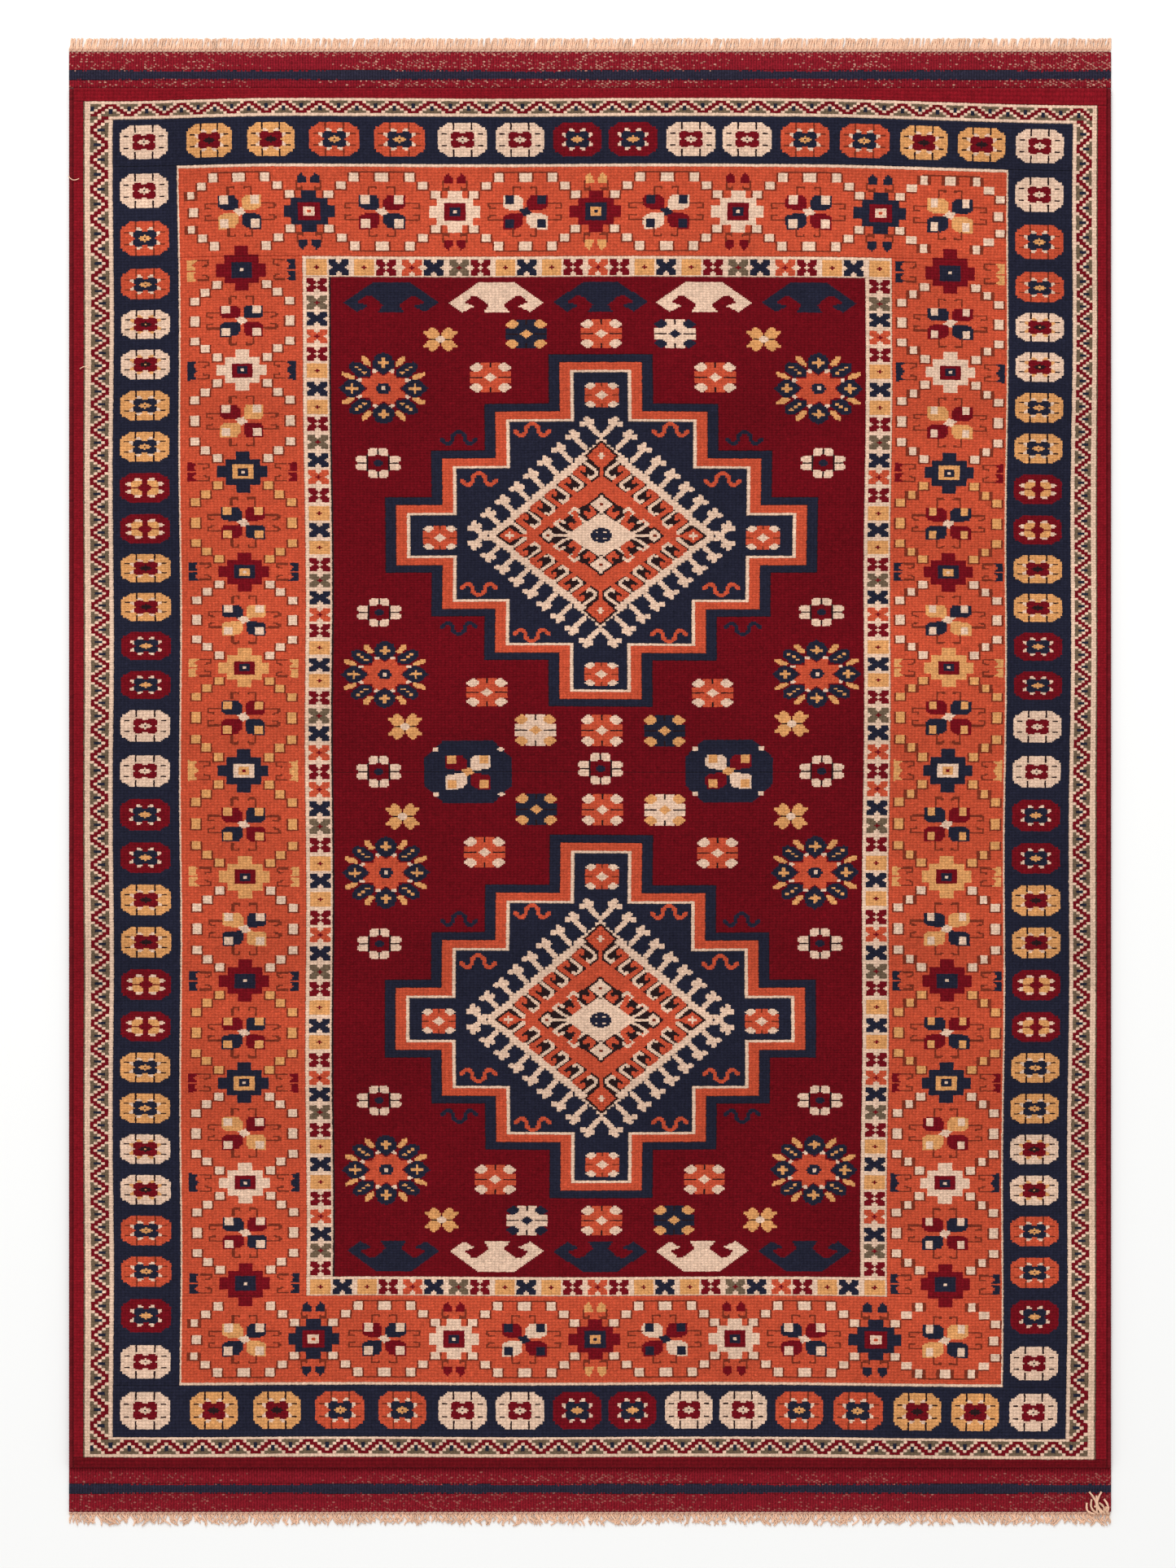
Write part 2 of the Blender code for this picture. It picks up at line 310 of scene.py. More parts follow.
def wool(name, fibre=850.0, fuzz=0.03):
    """Dull, slightly hairy wool: the dye of each knot, broken up by its own fibres."""
    material = bpy.data.materials.new(name)
    material.use_nodes = True
    nodes, links = material.node_tree.nodes, material.node_tree.links
    shader = nodes["Principled BSDF"]
    shader.inputs["Roughness"].default_value = 0.95
    shader.inputs["Specular IOR Level"].default_value = 0.05
    shader.inputs["Sheen Weight"].default_value = fuzz
    shader.inputs["Sheen Roughness"].default_value = 0.6
    dye = nodes.new("ShaderNodeAttribute")
    dye.attribute_name = "dye"
    place = nodes.new("ShaderNodeTexCoord")
    fibres = nodes.new("ShaderNodeTexNoise")
    fibres.inputs["Scale"].default_value = fibre
    fibres.inputs["Detail"].default_value = 2.0
    fibres.inputs["Roughness"].default_value = 0.6
    spread = nodes.new("ShaderNodeMapRange")
    spread.inputs["From Min"].default_value = 0.3
    spread.inputs["From Max"].default_value = 0.7
    spread.inputs["To Min"].default_value, spread.inputs["To Max"].default_value = FIBRE_SHADES
    shade = nodes.new("ShaderNodeVectorMath")
    shade.operation = "SCALE"
    bump = nodes.new("ShaderNodeBump")
    bump.inputs["Strength"].default_value = 0.5
    bump.inputs["Distance"].default_value = 0.0006
    links.new(place.outputs["Object"], fibres.inputs["Vector"])
    links.new(fibres.outputs["Fac"], spread.inputs["Value"])
    links.new(dye.outputs["Color"], shade.inputs[0])
    links.new(spread.outputs["Result"], shade.inputs["Scale"])
    links.new(shade.outputs["Vector"], shader.inputs["Base Color"])
    links.new(fibres.outputs["Fac"], bump.inputs["Height"])
    links.new(bump.outputs["Normal"], shader.inputs["Normal"])
    return material


def lane_places(along, lane_start, length, across, ratio):
    """UV places for a strip cut into lanes side by side, so that it fills a square map.

    along is each corner's place down the strip and lane_start its face's, both out of length.
    The number of lanes is the square root of the strip's length over its width.
    """
    lanes = max(1, round(math.sqrt(ratio)))
    lane_length = math.ceil(length / lanes)
    lane = (lane_start // lane_length)[:, None]
    return np.stack([(lane + across) / lanes, 1 - (along - lane * lane_length) / lane_length], -1)


def mat_walls(mask, row_step, column_step, under):
    """Upright faces along a mat's four open sides. Each has two corners at the bottom and takes
    the top's outline between them, so that it goes anticlockwise, seen from outside."""
    edge = np.pad(mask, 1)
    stride = 2 * mask.shape[1] + 1
    sides = ((~edge[:-2, 1:-1], (0, 1), (0, 0)),                 # far
             (~edge[2:, 1:-1], (0, -1), (1, column_step)),       # near
             (~edge[1:-1, :-2], (-1, 0), (row_step, 0)),         # left
             (~edge[1:-1, 2:], (1, 0), (0, 1)))                  # right
    walls = []
    for beyond, (down, right), start in sides:
        row, column = np.nonzero(mask & beyond)
        length, run = (row_step, row) if down else (column_step, column)
        keep = run % length == 0
        row, column = row[keep] + start[0], column[keep] + start[1]
        steps = np.arange(2 * length + 1)[None, :]
        crest = (2 * row[:, None] + down * steps) * stride + 2 * column[:, None] + right * steps
        walls.append(np.column_stack([under(row + down * length, column + right * length),
                                      under(row, column), crest]))
    return walls


def mat_places(tops, bottoms, walls, top_count, height, width, straight):
    """UV places of a mat's corners. Its top fills the map above 0.08, in lanes if it is a
    straight band, and its bottom and walls lie below."""
    stride, bottom_stride = 2 * width + 1, width + 1
    row, column = tops // stride, tops % stride
    ratio = width * KNOT_WIDTH / (height * KNOT_LENGTH)
    if straight and ratio > 1:
        top = lane_places(column, column.min(1), 2 * width, row / (2 * height), ratio)
    else:
        folds = 1 / ratio if straight else 1
        top = lane_places(row, row.min(1), 2 * height, column / (2 * width), folds)
    low = (bottoms - top_count).ravel()
    places = [top.reshape(-1, 2) * (1, 0.92) + (0, 0.08),
              np.stack([(low % bottom_stride) / width, 0.05 * (low // bottom_stride) / height], 1)]
    for wall in walls:
        point = wall.ravel()
        is_top = point < top_count
        low = point - top_count
        run = np.where(is_top, point % stride + point // stride,
                       2 * (low % bottom_stride + low // bottom_stride))
        places.append(np.stack([run / (2.0 * (width + height)), 0.055 + 0.02 * is_top], 1))
    return np.concatenate(places)


def knotted_mat(name, knots, material):
    """Closed mat of pile over the given knots.

    Every half knot is one face of the top, its corners lifted at the knot's middle and sunk
    between knots. Walls join the top's outline to a flat bottom. A straight band has one
    bottom face for each row across it, and any other mat has one for each knot.
    """
    first_row, last_row = np.flatnonzero(knots.any(axis=1))[[0, -1]]
    first_column, last_column = np.flatnonzero(knots.any(axis=0))[[0, -1]]
    height, width = last_row - first_row + 1, last_column - first_column + 1
    mask = knots[first_row:last_row + 1, first_column:last_column + 1]
    straight = mask.all()
    row_step = height if straight and width > height else 1
    column_step = width if straight and width <= height else 1

    view = (slice(2 * first_row, 2 * last_row + 3), slice(2 * first_column, 2 * last_column + 3))
    x, y, z = tuft_x[view].copy(), tuft_y[view].copy(), tuft_z[view].copy()
    halves = np.repeat(np.repeat(mask, 2, 0), 2, 1)
    padded = np.pad(halves, 1).astype(int)
    right_minus_left = (padded[:-1, 1:] + padded[1:, 1:]) - (padded[:-1, :-1] + padded[1:, :-1])
    far_minus_near = (padded[:-1, :-1] + padded[:-1, 1:]) - (padded[1:, :-1] + padded[1:, 1:])
    x += SEAM * np.sign(right_minus_left)
    y += SEAM * np.sign(far_minus_near)
    lower = np.stack([x[::2, ::2], y[::2, ::2], np.full_like(x[::2, ::2], PILE_BOTTOM)], -1)
    vertices = np.concatenate([np.stack([x, y, z], -1).reshape(-1, 3), lower.reshape(-1, 3)])

    stride = 2 * width + 1
    half_row, half_column = np.nonzero(halves)
    far_left = half_row * stride + half_column
    tops = np.stack([far_left + stride, far_left + stride + 1, far_left + 1, far_left], 1)

    def under(row, column):
        return x.size + row * (width + 1) + column

    row, column = np.nonzero(mask[::row_step, ::column_step])
    row, column = row * row_step, column * column_step
    bottoms = np.stack([under(row, column), under(row, column + column_step),
                        under(row + row_step, column + column_step), under(row + row_step, column)], 1)
    walls = mat_walls(mask, row_step, column_step, under)
    sizes = np.concatenate([np.full(len(tops) + len(bottoms), 4)]
                           + [np.full(len(wall), wall.shape[1]) for wall in walls])
    corners = np.concatenate([tops.ravel(), bottoms.ravel()] + [wall.ravel() for wall in walls])

    letters = chart[2 * first_row + half_row, 2 * first_column + half_column]
    own_shade = tuft_tone_and_painted_light[2 * first_row + half_row, 2 * first_column + half_column]
    # Painted shade in the valleys between knots and painted highlight on their tips.
    valley = painted_valley_light[view].reshape(-1)[tops]
    top_colours = (DYE_COLOURS[letters] * own_shade[:, None])[:, None, :] * valley[:, :, None]
    body = DYE_COLOURS[np.bincount(letters).argmax()]
    # Painted shade: the walls and bottom of a mat take its commonest dye, darkened.
    plain = np.tile(body * WALL_PAINTED_SHADE, (len(corners) - tops.size, 1))
    colours = np.concatenate([top_colours.reshape(-1, 3), plain])
    places = mat_places(tops, bottoms, walls, x.size, height, width, straight)

    used = np.zeros(len(vertices), bool)
    used[corners] = True
    vertices, corners = vertices[used], (np.cumsum(used) - 1)[corners]
    piece = mesh_piece(name, vertices, sizes, corners, colours, places)
    piece.data.materials.append(material)
    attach(piece, "root")
    return piece


def band_strips(band, material):
    """The four mats of a band: the far and near ones run its full width."""
    for side in ("far", "near", "left", "right"):
        knots = np.zeros((ROWS, COLUMNS), bool)
        if side in ("far", "near"):
            span = slice(columns[band + "_left"][0], columns[band + "_right"][1])
            knots[slice(*rows[band + "_" + side]), span] = True
        else:
            span = slice(rows[band + "_far"][1], rows[band + "_near"][0])
            knots[span, slice(*columns[band + "_" + side])] = True
        node = band + "_" + side
        piece = knotted_mat("pile_" + node, knots, material)
        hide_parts(node)


madder_wool = wool("madder_wool")
lay("E", 0, COLUMNS, 0, ROWS)
band_strips("edge_band", madder_wool)


# ---------------------------------------------------------------- zigzag guard
# A narrow guard of ivory knots. A madder zigzag runs all round in it, edged with ivory, and
# the triangles left over are moss brown with a navy heart.
ZIGZAG = ("MMMIRRRIMM",      # from the outer edge inwards, the first knot in a valley's middle
          "NMIRRIRRIM",
          "NIRRINIRRI",
          "IRRIMNMIRR",
          "RRIMMMMMIR")
ZIGZAG_SIDE_INSET = 3        # knots from the guard's outer edge to the zigzag, at the sides


def dyes_of(pattern):
    """Array of dye numbers from rows of letters."""
    return np.array([[DYES.index(letter) for letter in line] for line in pattern], np.uint8)


def doubled(knots):
    """Every knot as its four half knots."""
    return np.repeat(np.repeat(knots, 2, 0), 2, 1)


zigzag = dyes_of(ZIGZAG)
guard_left, guard_right = columns["zigzag_guard_left"][0], columns["zigzag_guard_right"][1]
guard_far, guard_near = rows["zigzag_guard_far"][0], rows["zigzag_guard_near"][1]
lay("I", guard_left, guard_right, guard_far, guard_near)
lay("M", guard_left, guard_left + 1, guard_far, guard_near)
lay("M", guard_right - 1, guard_right, guard_far, guard_near)
zigzag_rows = slice(2 * (guard_far + 1), 2 * (guard_near - 1))
zigzag_columns = slice(2 * (guard_left + ZIGZAG_SIDE_INSET), 2 * (guard_right - ZIGZAG_SIDE_INSET))
depth = 2 * len(ZIGZAG)
period = zigzag.shape[1]
down_phase = (np.arange(guard_far + 1, guard_near - 1) - round(ROWS / 2)) % period
side_zigzag = doubled(zigzag[:, down_phase].T)
chart[zigzag_rows, zigzag_columns][:, :depth] = side_zigzag
chart[zigzag_rows, zigzag_columns][:, -depth:] = side_zigzag[:, ::-1]
zigzag_across = np.arange(guard_left + ZIGZAG_SIDE_INSET, guard_right - ZIGZAG_SIDE_INSET)
across_phase = (zigzag_across - round(COLUMNS / 2)) % period
end_zigzag = doubled(zigzag[:, across_phase])
chart[zigzag_rows, zigzag_columns][:depth] = end_zigzag
chart[zigzag_rows, zigzag_columns][-depth:] = end_zigzag[::-1]
guard_wool = wool("guard_wool")
band_strips("zigzag_guard", guard_wool)


# ---------------------------------------------------------------- rosette border
# A navy border of eight-petalled rosettes, one every sixteen rows or seventeen columns. Each is
# drawn as a quarter, one letter a half knot, which the weaver turns over for the other three.
ROSETTE = """
.....PPPLPPPPP
....PPPPLPPPPP
...PPPPPLPPPPP
.PPPPPPPLPPPPP
.PPPPPPPLTTPPP
PPPPPPPPPTTTPP
PPPPPPPPCCCCPP
PPLLLTTCCCCCCC
PPPPPTTCCCCCCC
PPPPPPTCCCCCCE
PPPPPPPCCCCEEE
PPPPPPPPCCEEEH
"""
LOBED_ROSETTE = """
.....PPPPPPPPP
....PPPPPPPPPP
...PPPPPPPPPPP
.PPPPPPPPPPPPP
.PPPPPPPTTTPPP
PPPPPPPPTTTTPP
PPPPPPPCCCCCPP
PPPPTTCCCCCCPP
PPPTTTCCCCCCPP
PPPPTTCCCCCPPP
PPPPPPCCCCPPPP
PPPPPPLLLPPPPP
"""
ROSETTE_DYES = {             # petal, line, centre, tips, ring and eye
    "a": "IKRIIK", "b": "IKRGKG", "g": "GKRIKK", "n": "GKNIGN",
    "o": "OBNIGN", "l": "RBGIRR", "d": "RRNIGG",
}
SIDE_ROSETTES = "aaoobbnnllggddaaddggllnnbboodaa"
FAR_ROSETTES = "aggooaaddaaoogga"
ROSETTE_SPREAD = (1.13, 0.94, 1.02)  # spacing along the ends, at the left, middle and right


def whole(quarter):
    """Full figure from its top left quarter, whose last row and column are the middle ones."""
    letters = np.array([list(line) for line in quarter.split()])
    letters = np.hstack([letters, letters[:, -2::-1]])
    return np.vstack([letters, letters[-2::-1]])


def stamp(quarter, across, down, dyes):
    """Works a figure into the chart round a place; dyes maps its letters to dye letters."""
    figure = whole(quarter)
    top = round(2 * down - figure.shape[0] / 2)
    left = round(2 * across - figure.shape[1] / 2)
    place = chart[top:top + figure.shape[0], left:left + figure.shape[1]]
    for letter, dye in dyes.items():
        place[figure == letter] = DYES.index(dye)


def rosette(kind, across, down):
    """One rosette of the border."""
    quarter = LOBED_ROSETTE if kind == "l" else ROSETTE
    stamp(quarter, across, down, dict(zip("PLCTEH", ROSETTE_DYES[kind])))


rosette_sides = (middle("rosette_border_left"), middle("rosette_border_right"))
rosette_ends = (middle("rosette_border_far"), middle("rosette_border_near"))
lay("N", columns["rosette_border_left"][0], columns["rosette_border_right"][1],
    rows["rosette_border_far"][0], rows["rosette_border_near"][1])
for place, kind in enumerate(SIDE_ROSETTES):
    down = np.interp(place, (0, len(SIDE_ROSETTES) - 1), rosette_ends)
    for across in rosette_sides:
        rosette(kind, across, down)
gaps = np.interp(np.arange(len(FAR_ROSETTES) - 1), (0, 7, 14), ROSETTE_SPREAD)
stations = np.concatenate([[0], np.cumsum(gaps)]) / gaps.sum()
for station, kind in zip(stations, FAR_ROSETTES):
    across = rosette_sides[0] + (rosette_sides[1] - rosette_sides[0]) * station
    for down in rosette_ends:
        rosette(kind, across, down)
navy_wool = wool("navy_wool")
band_strips("rosette_border", navy_wool)


# ---------------------------------------------------------------- lattice border
# The broad terracotta border. Ivory squares, stepped corner to corner, close a cell round each
# four-petalled flower, and a stepped star stands where two cells meet.
PETAL = ((-0.5, -0.6), (-0.5, -4.6), (-1.5, -6.1), (-5.6, -6.1), (-6.4, -5.2), (-6.4, -2.1), (-5.4, -0.9))
HEART = ((-1.9, -0.7), (0.5, -1.6), (1.9, 0.5), (-0.3, 1.7))
STAR = ((0, -8), (2, -8), (2, -5), (5, -5), (5, -2.2), (7.2, -2.2), (7.2, 0))
LEAF = ((-15.6, 0.2), (-15.6, 3.8), (-12.9, 3.5), (-14.1, 1.9), (-13.0, 0.2))
HOOK = ((-12.6, 3.3), (-9.6, 3.3), (-9.6, 1.9), (-11.2, 1.4))
END_LEAF = ((0.6, -10.9), (3.1, -10.9), (3.1, -13.5), (1.8, -15.0), (0.7, -13.0))
END_HOOK = ((3.3, -11.5), (3.3, -8.6), (1.6, -8.6), (1.6, -9.4))
SIDE_SQUARES = ((7.25, 14.5), (10.5, 11.25), (13.75, 8.0))
END_SQUARES = ((7.5, 11.5), (11.0, 8.6), (14.3, 5.7))
END_SQUASH = 0.87            # rows are taller in the end borders, so figures have fewer of them


def fill(dye, points, across, down, turn=(1, 1)):
    """Fills an outline in the chart: a half knot is inside when a line from it crosses the
    outline an odd number of times. Points are knots from the place, turned over by turn."""
    outline = np.array(points, float) * turn + (across, down)
    left, far = np.floor(2 * outline.min(0)).astype(int)
    right, near = np.ceil(2 * outline.max(0)).astype(int)
    x = (np.arange(left, right) + 0.5)[None, :] / 2
    y = (np.arange(far, near) + 0.5)[:, None] / 2
    odd = np.zeros((near - far, right - left), bool)
    for (x0, y0), (x1, y1) in zip(outline, np.roll(outline, -1, 0)):
        if y0 != y1:
            odd ^= ((y0 > y) != (y1 > y)) & (x < x0 + (y - y0) * (x1 - x0) / (y1 - y0))
    chart[far:near, left:right][odd] = DYES.index(dye)


def line(dye, points, across, down, turn=(1, 1), thick=0.5):
    """Draws a line through points in the chart: half knots nearer than half its thickness."""
    path = np.array(points, float) * turn + (across, down)
    margin = thick + 0.5
    left, far = np.floor(2 * (path.min(0) - margin)).astype(int)
    right, near = np.ceil(2 * (path.max(0) + margin)).astype(int)
    place = np.stack(np.meshgrid((np.arange(left, right) + 0.5) / 2, (np.arange(far, near) + 0.5) / 2), -1)
    close = np.zeros(place.shape[:2], bool)
    shape = np.array([1.0, 0.75])          # a row is three quarters as tall as a column is wide
    for start, end in zip(path[:-1], path[1:]):
        run = (end - start) * shape
        reach = (place - start) * shape
        share = np.clip((reach @ run) / max(run @ run, 1e-9), 0, 1)
        close |= np.hypot(*np.moveaxis(reach - share[..., None] * run, -1, 0)) <= thick / 2
    chart[far:near, left:right][close] = DYES.index(dye)


def square(dye, across, down, wide=3.0, tall=3.0, edge="B"):
    """Small square with a thin brown edge at its left, right and near side."""
    lay(edge, across - wide / 2 - 0.5, across + wide / 2 + 0.5, down - tall / 2, down + tall / 2 + 0.5)
    lay(dye, across - wide / 2, across + wide / 2, down - tall / 2, down + tall / 2)


def flower(across, down, falling, rising, corner, heart, squash=1.0, turn=1):
    """Four petals in two dyes, each with a square in its outer corner, round a small heart."""
    for side, end in ((-1, -1), (1, 1), (1, -1), (-1, 1)):
        dye = falling if side * turn == end else rising
        fill(dye, PETAL, across, down, (-side, -end * squash))
        square(corner, across + 4.5 * side, down + 4.5 * squash * end, 2.5, 3, dye)
    fill(heart, HEART, across, down, (turn, squash))


def brackets(across, down, squash=1.0):
    """Thin brown hooks outside a flower's petals, on all four sides."""
    for side in (-1, 1):
        for end in (-1, 1):
            turn = (side, end * squash)
            line("B", ((6.6, 3.1), (10.2, 3.1), (10.2, 1.7), (8.6, 1.3)), across, down, turn)
            line("B", ((3.3, 6.6), (3.3, 9.6), (1.5, 9.6), (1.5, 8.9)), across, down, turn)


def star(across, down, body, square_dye, core, speck, squash=1.0):
    """Stepped star with two squares and a speck inside it."""
    for side in (-1, 1):
        for end in (-1, 1):
            fill(body, STAR + ((0, 0),), across, down, (side, end * squash))
    lay(square_dye, across - 3, across + 3, down - 2.75, down + 2.75)
    lay(core, across - 1.5, across + 1.5, down - 1.5, down + 1.5)
    lay(speck, across - 0.5, across + 0.5, down - 0.5, down + 0.5)


def leaves(dye, across, down, side, at_end, squash=1.0):
    """Pair of small leaves at the border's edge beside a star, with two thin hooks."""
    leaf, hook = (END_LEAF, END_HOOK) if at_end else (LEAF, HOOK)
    for end in (-1, 1):
        turn = (end, -side * squash) if at_end else (side, end)
        fill(dye, leaf, across, down, turn)
        line("B", hook, across, down, turn)


SIDE_CELLS = (               # falling petals, rising petals, corner squares
    "NGI", "RNI", "RGI", "NRG", "NGI", "NRG", "RNG", "GNI", "RNG", "GRI", "NRI", "GNI")
SIDE_STARS = (               # body, square, core, speck, outer leaves, inner leaves
    "RNNIGN", "IRNINN", "NGNIRR", "RNGINN", "GRNIGG", "NIGRGG",
    "GRNIGG", "RNNINN", "NGNIRR", "IRNINN", "RNNINN")
FAR_CELLS = ("NGI", "NRI", "IRN", "RIN", "RNI", "GNI")
NEAR_CELLS = ("GNI", "RNI", "RIN", "IRN", "NRI", "NGI")
END_STARS = ("NRIONN", "IRNIRR", "RNGNGG", "IRNIRR", "NRIONN")

lay("I", columns["lattice_border_left"][0], columns["lattice_border_right"][1],
    rows["lattice_border_far"][0], rows["lattice_border_near"][1])
lay("O", columns["lattice_border_left"][0] + 0.5, columns["lattice_border_right"][1] - 0.5,
    rows["lattice_border_far"][0] + 1, rows["lattice_border_near"][1] - 1)
cell_sides = (middle("lattice_border_left") + 0.3, middle("lattice_border_right"))
cell_ends = (middle("lattice_border_far") + 0.5, middle("lattice_border_near") - 0.5)
last_cell = len(SIDE_CELLS) - 1
for place, (falling, rising, corner) in enumerate(SIDE_CELLS):
    down = np.interp(place, (0, last_cell), cell_ends)
    at_end = place in (0, last_cell)
    squash = END_SQUASH if at_end else 1.0
    for turn, across in zip((1, -1), cell_sides):
        for side in (-1, 1):
            for end in (-1, 1):
                squares = END_SQUARES if at_end else SIDE_SQUARES
                for step_x, step_y in squares:
                    square(corner if not at_end else "I", across + side * step_x, down + end * step_y,
                           2.5, 2.5 if at_end else 3)
            if not at_end or side == -turn:
                square(corner, across + side * 13.75, down, 2.5, 4 * squash)
        if at_end:
            outer = -1 if place == 0 else 1
            square("I", across, down + outer * 11.5, 3.5, 2.5)
            line("B", ((-8, 13.4 * outer), (8.5, 13.4 * outer)), across, down)
        flower(across, down, falling, rising, corner, "I", squash, turn)
        brackets(across, down, squash)
for place, (body, inner_square, core, speck, outer_leaf, inner_leaf) in enumerate(SIDE_STARS):
    down = np.interp(place + 0.5, (0, last_cell), cell_ends)
    for turn, across in zip((1, -1), cell_sides):
        star(across, down, body, inner_square, core, speck)
        leaves(outer_leaf, across, down, turn, False)
        leaves(inner_leaf, across, down, -turn, False)
last_end_cell = len(FAR_CELLS) - 1
for cells, down, outer in ((FAR_CELLS, cell_ends[0], -1), (NEAR_CELLS, cell_ends[1], 1)):
    for place, (falling, rising, corner) in enumerate(cells):
        if place in (0, last_end_cell):
            continue
        across = np.interp(place, (0, last_end_cell), cell_sides)
        for side in (-1, 1):
            for end in (-1, 1):
                for step_x, step_y in END_SQUARES:
                    square("I", across + side * step_x, down + end * step_y, 2.5, 2.5)
        for end in (-1, 1):
            square("I", across, down + end * 11.5, 3.5, 2.5)
            line("B", ((-8, 13.4 * end), (8.5, 13.4 * end)), across, down)
        flower(across, down, falling, rising, corner, "N" if corner == "N" else "I", END_SQUASH)
        brackets(across, down, END_SQUASH)
    for place, (body, inner_square, core, speck, leaf, _) in enumerate(END_STARS):
        across = np.interp(place + 0.5, (0, last_end_cell), cell_sides)
        star(across, down, body, inner_square, core, speck, END_SQUASH)
        for side in (-1, 1):
            leaves(leaf, across, down, side, True, END_SQUASH)
terracotta_wool = wool("terracotta_wool")
band_strips("lattice_border", terracotta_wool)


# ---------------------------------------------------------------- dice guard
# An ivory guard of small dice next to the field. Most are notched on all four sides and have a
# dash of another dye in the middle. The gold ones are plain.
DIE = """
PPPPWW
PPPPWW
PPPPPW
PPPPPP
WPPPPS
WWPPSS
"""
SIDE_DICE = "GDMNODGN" * 3 + "GDMNOD"
END_DICE = "GNGDONMDGNGDODGNGDMNODGNG"
DICE_DYES = {                # block, notches and dash
    "G": "GGR", "D": "RII", "R": "RII", "M": "MIR", "N": "NIN", "O": "OIR",
}

lay("I", columns["dice_guard_left"][0], columns["dice_guard_right"][1],
    rows["dice_guard_far"][0], rows["dice_guard_near"][1])
lay("B", columns["dice_guard_left"][0] - 0.5, columns["dice_guard_left"][0],
    rows["dice_guard_far"][0], rows["dice_guard_near"][1])
dice_sides = (middle("dice_guard_left"), middle("dice_guard_right"))
dice_ends = (middle("dice_guard_far"), middle("dice_guard_near"))
side_run = SIDE_DICE + SIDE_DICE[-2::-1]
for place, kind in enumerate(side_run):
    down = np.interp(place, (0, len(side_run) - 1), dice_ends)
    for across in dice_sides:
        stamp(DIE, across, down, dict(zip("PWS", DICE_DYES[kind])))
for place, kind in enumerate(END_DICE):
    across = np.interp(place, (0, len(END_DICE) - 1), dice_sides)
    for down in dice_ends:
        stamp(DIE, across, down, dict(zip("PWS", DICE_DYES[kind])))
band_strips("dice_guard", guard_wool)


# ---------------------------------------------------------------- field
# Deep madder knots, scattered with horned figures, octagons, gold stars, ivory rings and large
# rosettes. The field is two halves that meet across the rug's middle.
OCTAGON = """
...AA.PPPPPL
..AAAAPPPPPL
.AAAAAAPPPPL
AAAAAAAPPPPL
AAAAAAAPPPPP
.AAAAAPPPPPP
..AAAPPPPPPP
PPPPPPPPPPPP
PPPPPPPPPPPC
PPPPPPPPPPCC
PPPPPPPPPCCC
LLLLLLLPCCCC
"""
GOLD_STAR = """
....GG....
...GGGG...
...GGGGG..
GGGGGGGG..
GGGGGGGGG.
.GGGGGGGG.
..GGGGGGGK
..GGGGGGII
...GGGGIII
....KKKIII
"""
IVORY_RING = """
........IIII.
.......IIIIIK
.......IIIIIK
.......IIIIIK
.......IIIIIK
......KIIII..
.IIIIIK......
IIIIIIK......
IIIIIIK......
IIIIIIK....NN
.IIIIIK...NNN
.KKKKKK...NNN
"""
HORNS = ((0, -6), (-5.1, -6), (-13.2, 1.9), (-9.4, 5.7), (-6.0, 3.3), (-9.2, 1.9), (-6.7, -0.9),
         (-5.1, -0.4), (-2.1, 2.9), (-3.7, 6.0), (0, 6.0))
STAR_PETALS = ((0, -4.8), (-1.3, -6.2), (-3.1, -6.2), (-3.4, -3.9), (-6.4, -3.7), (-6.4, -2.4),
               (-4.4, 0), (0, 0))
END_PETAL = ((0, -14.0), (-2.2, -12.6), (-3.1, -10.2), (-2.7, -7.8), (0, -5.4))
SIDE_PETAL = ((-12.4, 0), (-10.0, -3.2), (-8.5, -3.7), (-6.6, -2.4), (-4.8, 0))
CORNER_PETAL = ((-9.4, -9.4), (-8.2, -10.2), (-6.2, -9.8), (-3.4, -7.2), (-3.5, -4.6),
                (-6.8, -4.1), (-9.2, -6.7))
END_BUD = ((-6.1, -12.4), (-4.9, -12.3), (-3.2, -9.5), (-3.5, -8.5), (-4.8, -8.9), (-6.1, -10.9))
SIDE_BUD = ((-11.7, -6.3), (-9.6, -5.9), (-7.9, -4.4), (-8.3, -3.4), (-10.0, -3.8), (-11.5, -4.9))
HOOK_PAIR = """
.........WWW.........
........WWWWW........
.......WWWWWWW.......
......WWW...WWW......
......WWW...WWW......
......WW.....WW......
WW....WW.....WW....WW
WWW...WW.....WW...WWW
WWW..WWW.....WWW..WWW
.WWWWWW.......WWWWWW.
..WWWWW.......WWWWW..
...WWW.........WWW...
"""
FIELD_SHIFT = 1              # the design lies a knot to the right of the field's middle
STAR_DYES = {"G": "G", "K": "K", "I": "I"}
RING_DYES = {"I": "I", "K": "K", "N": "N"}
END_ACCENTS = {"N": "G", "O": "I", "I": "N"}       # accent of an octagon of each dye
MIDDLE_ACCENTS = {"N": "G", "O": "I", "I": "G"}

field_left, field_right = columns["field"]
field_far, field_near = rows["field"]
centre_across = (field_left + field_right) / 2 + FIELD_SHIFT
centre_down = (field_far + field_near) / 2


def octagon(across, down, petals, accent, heart, cross="K"):
    """Four-petalled octagon with an accent at each corner."""
    stamp(OCTAGON, centre_across + across, centre_down + down,
          {"P": petals, "A": accent, "C": heart, "L": cross})


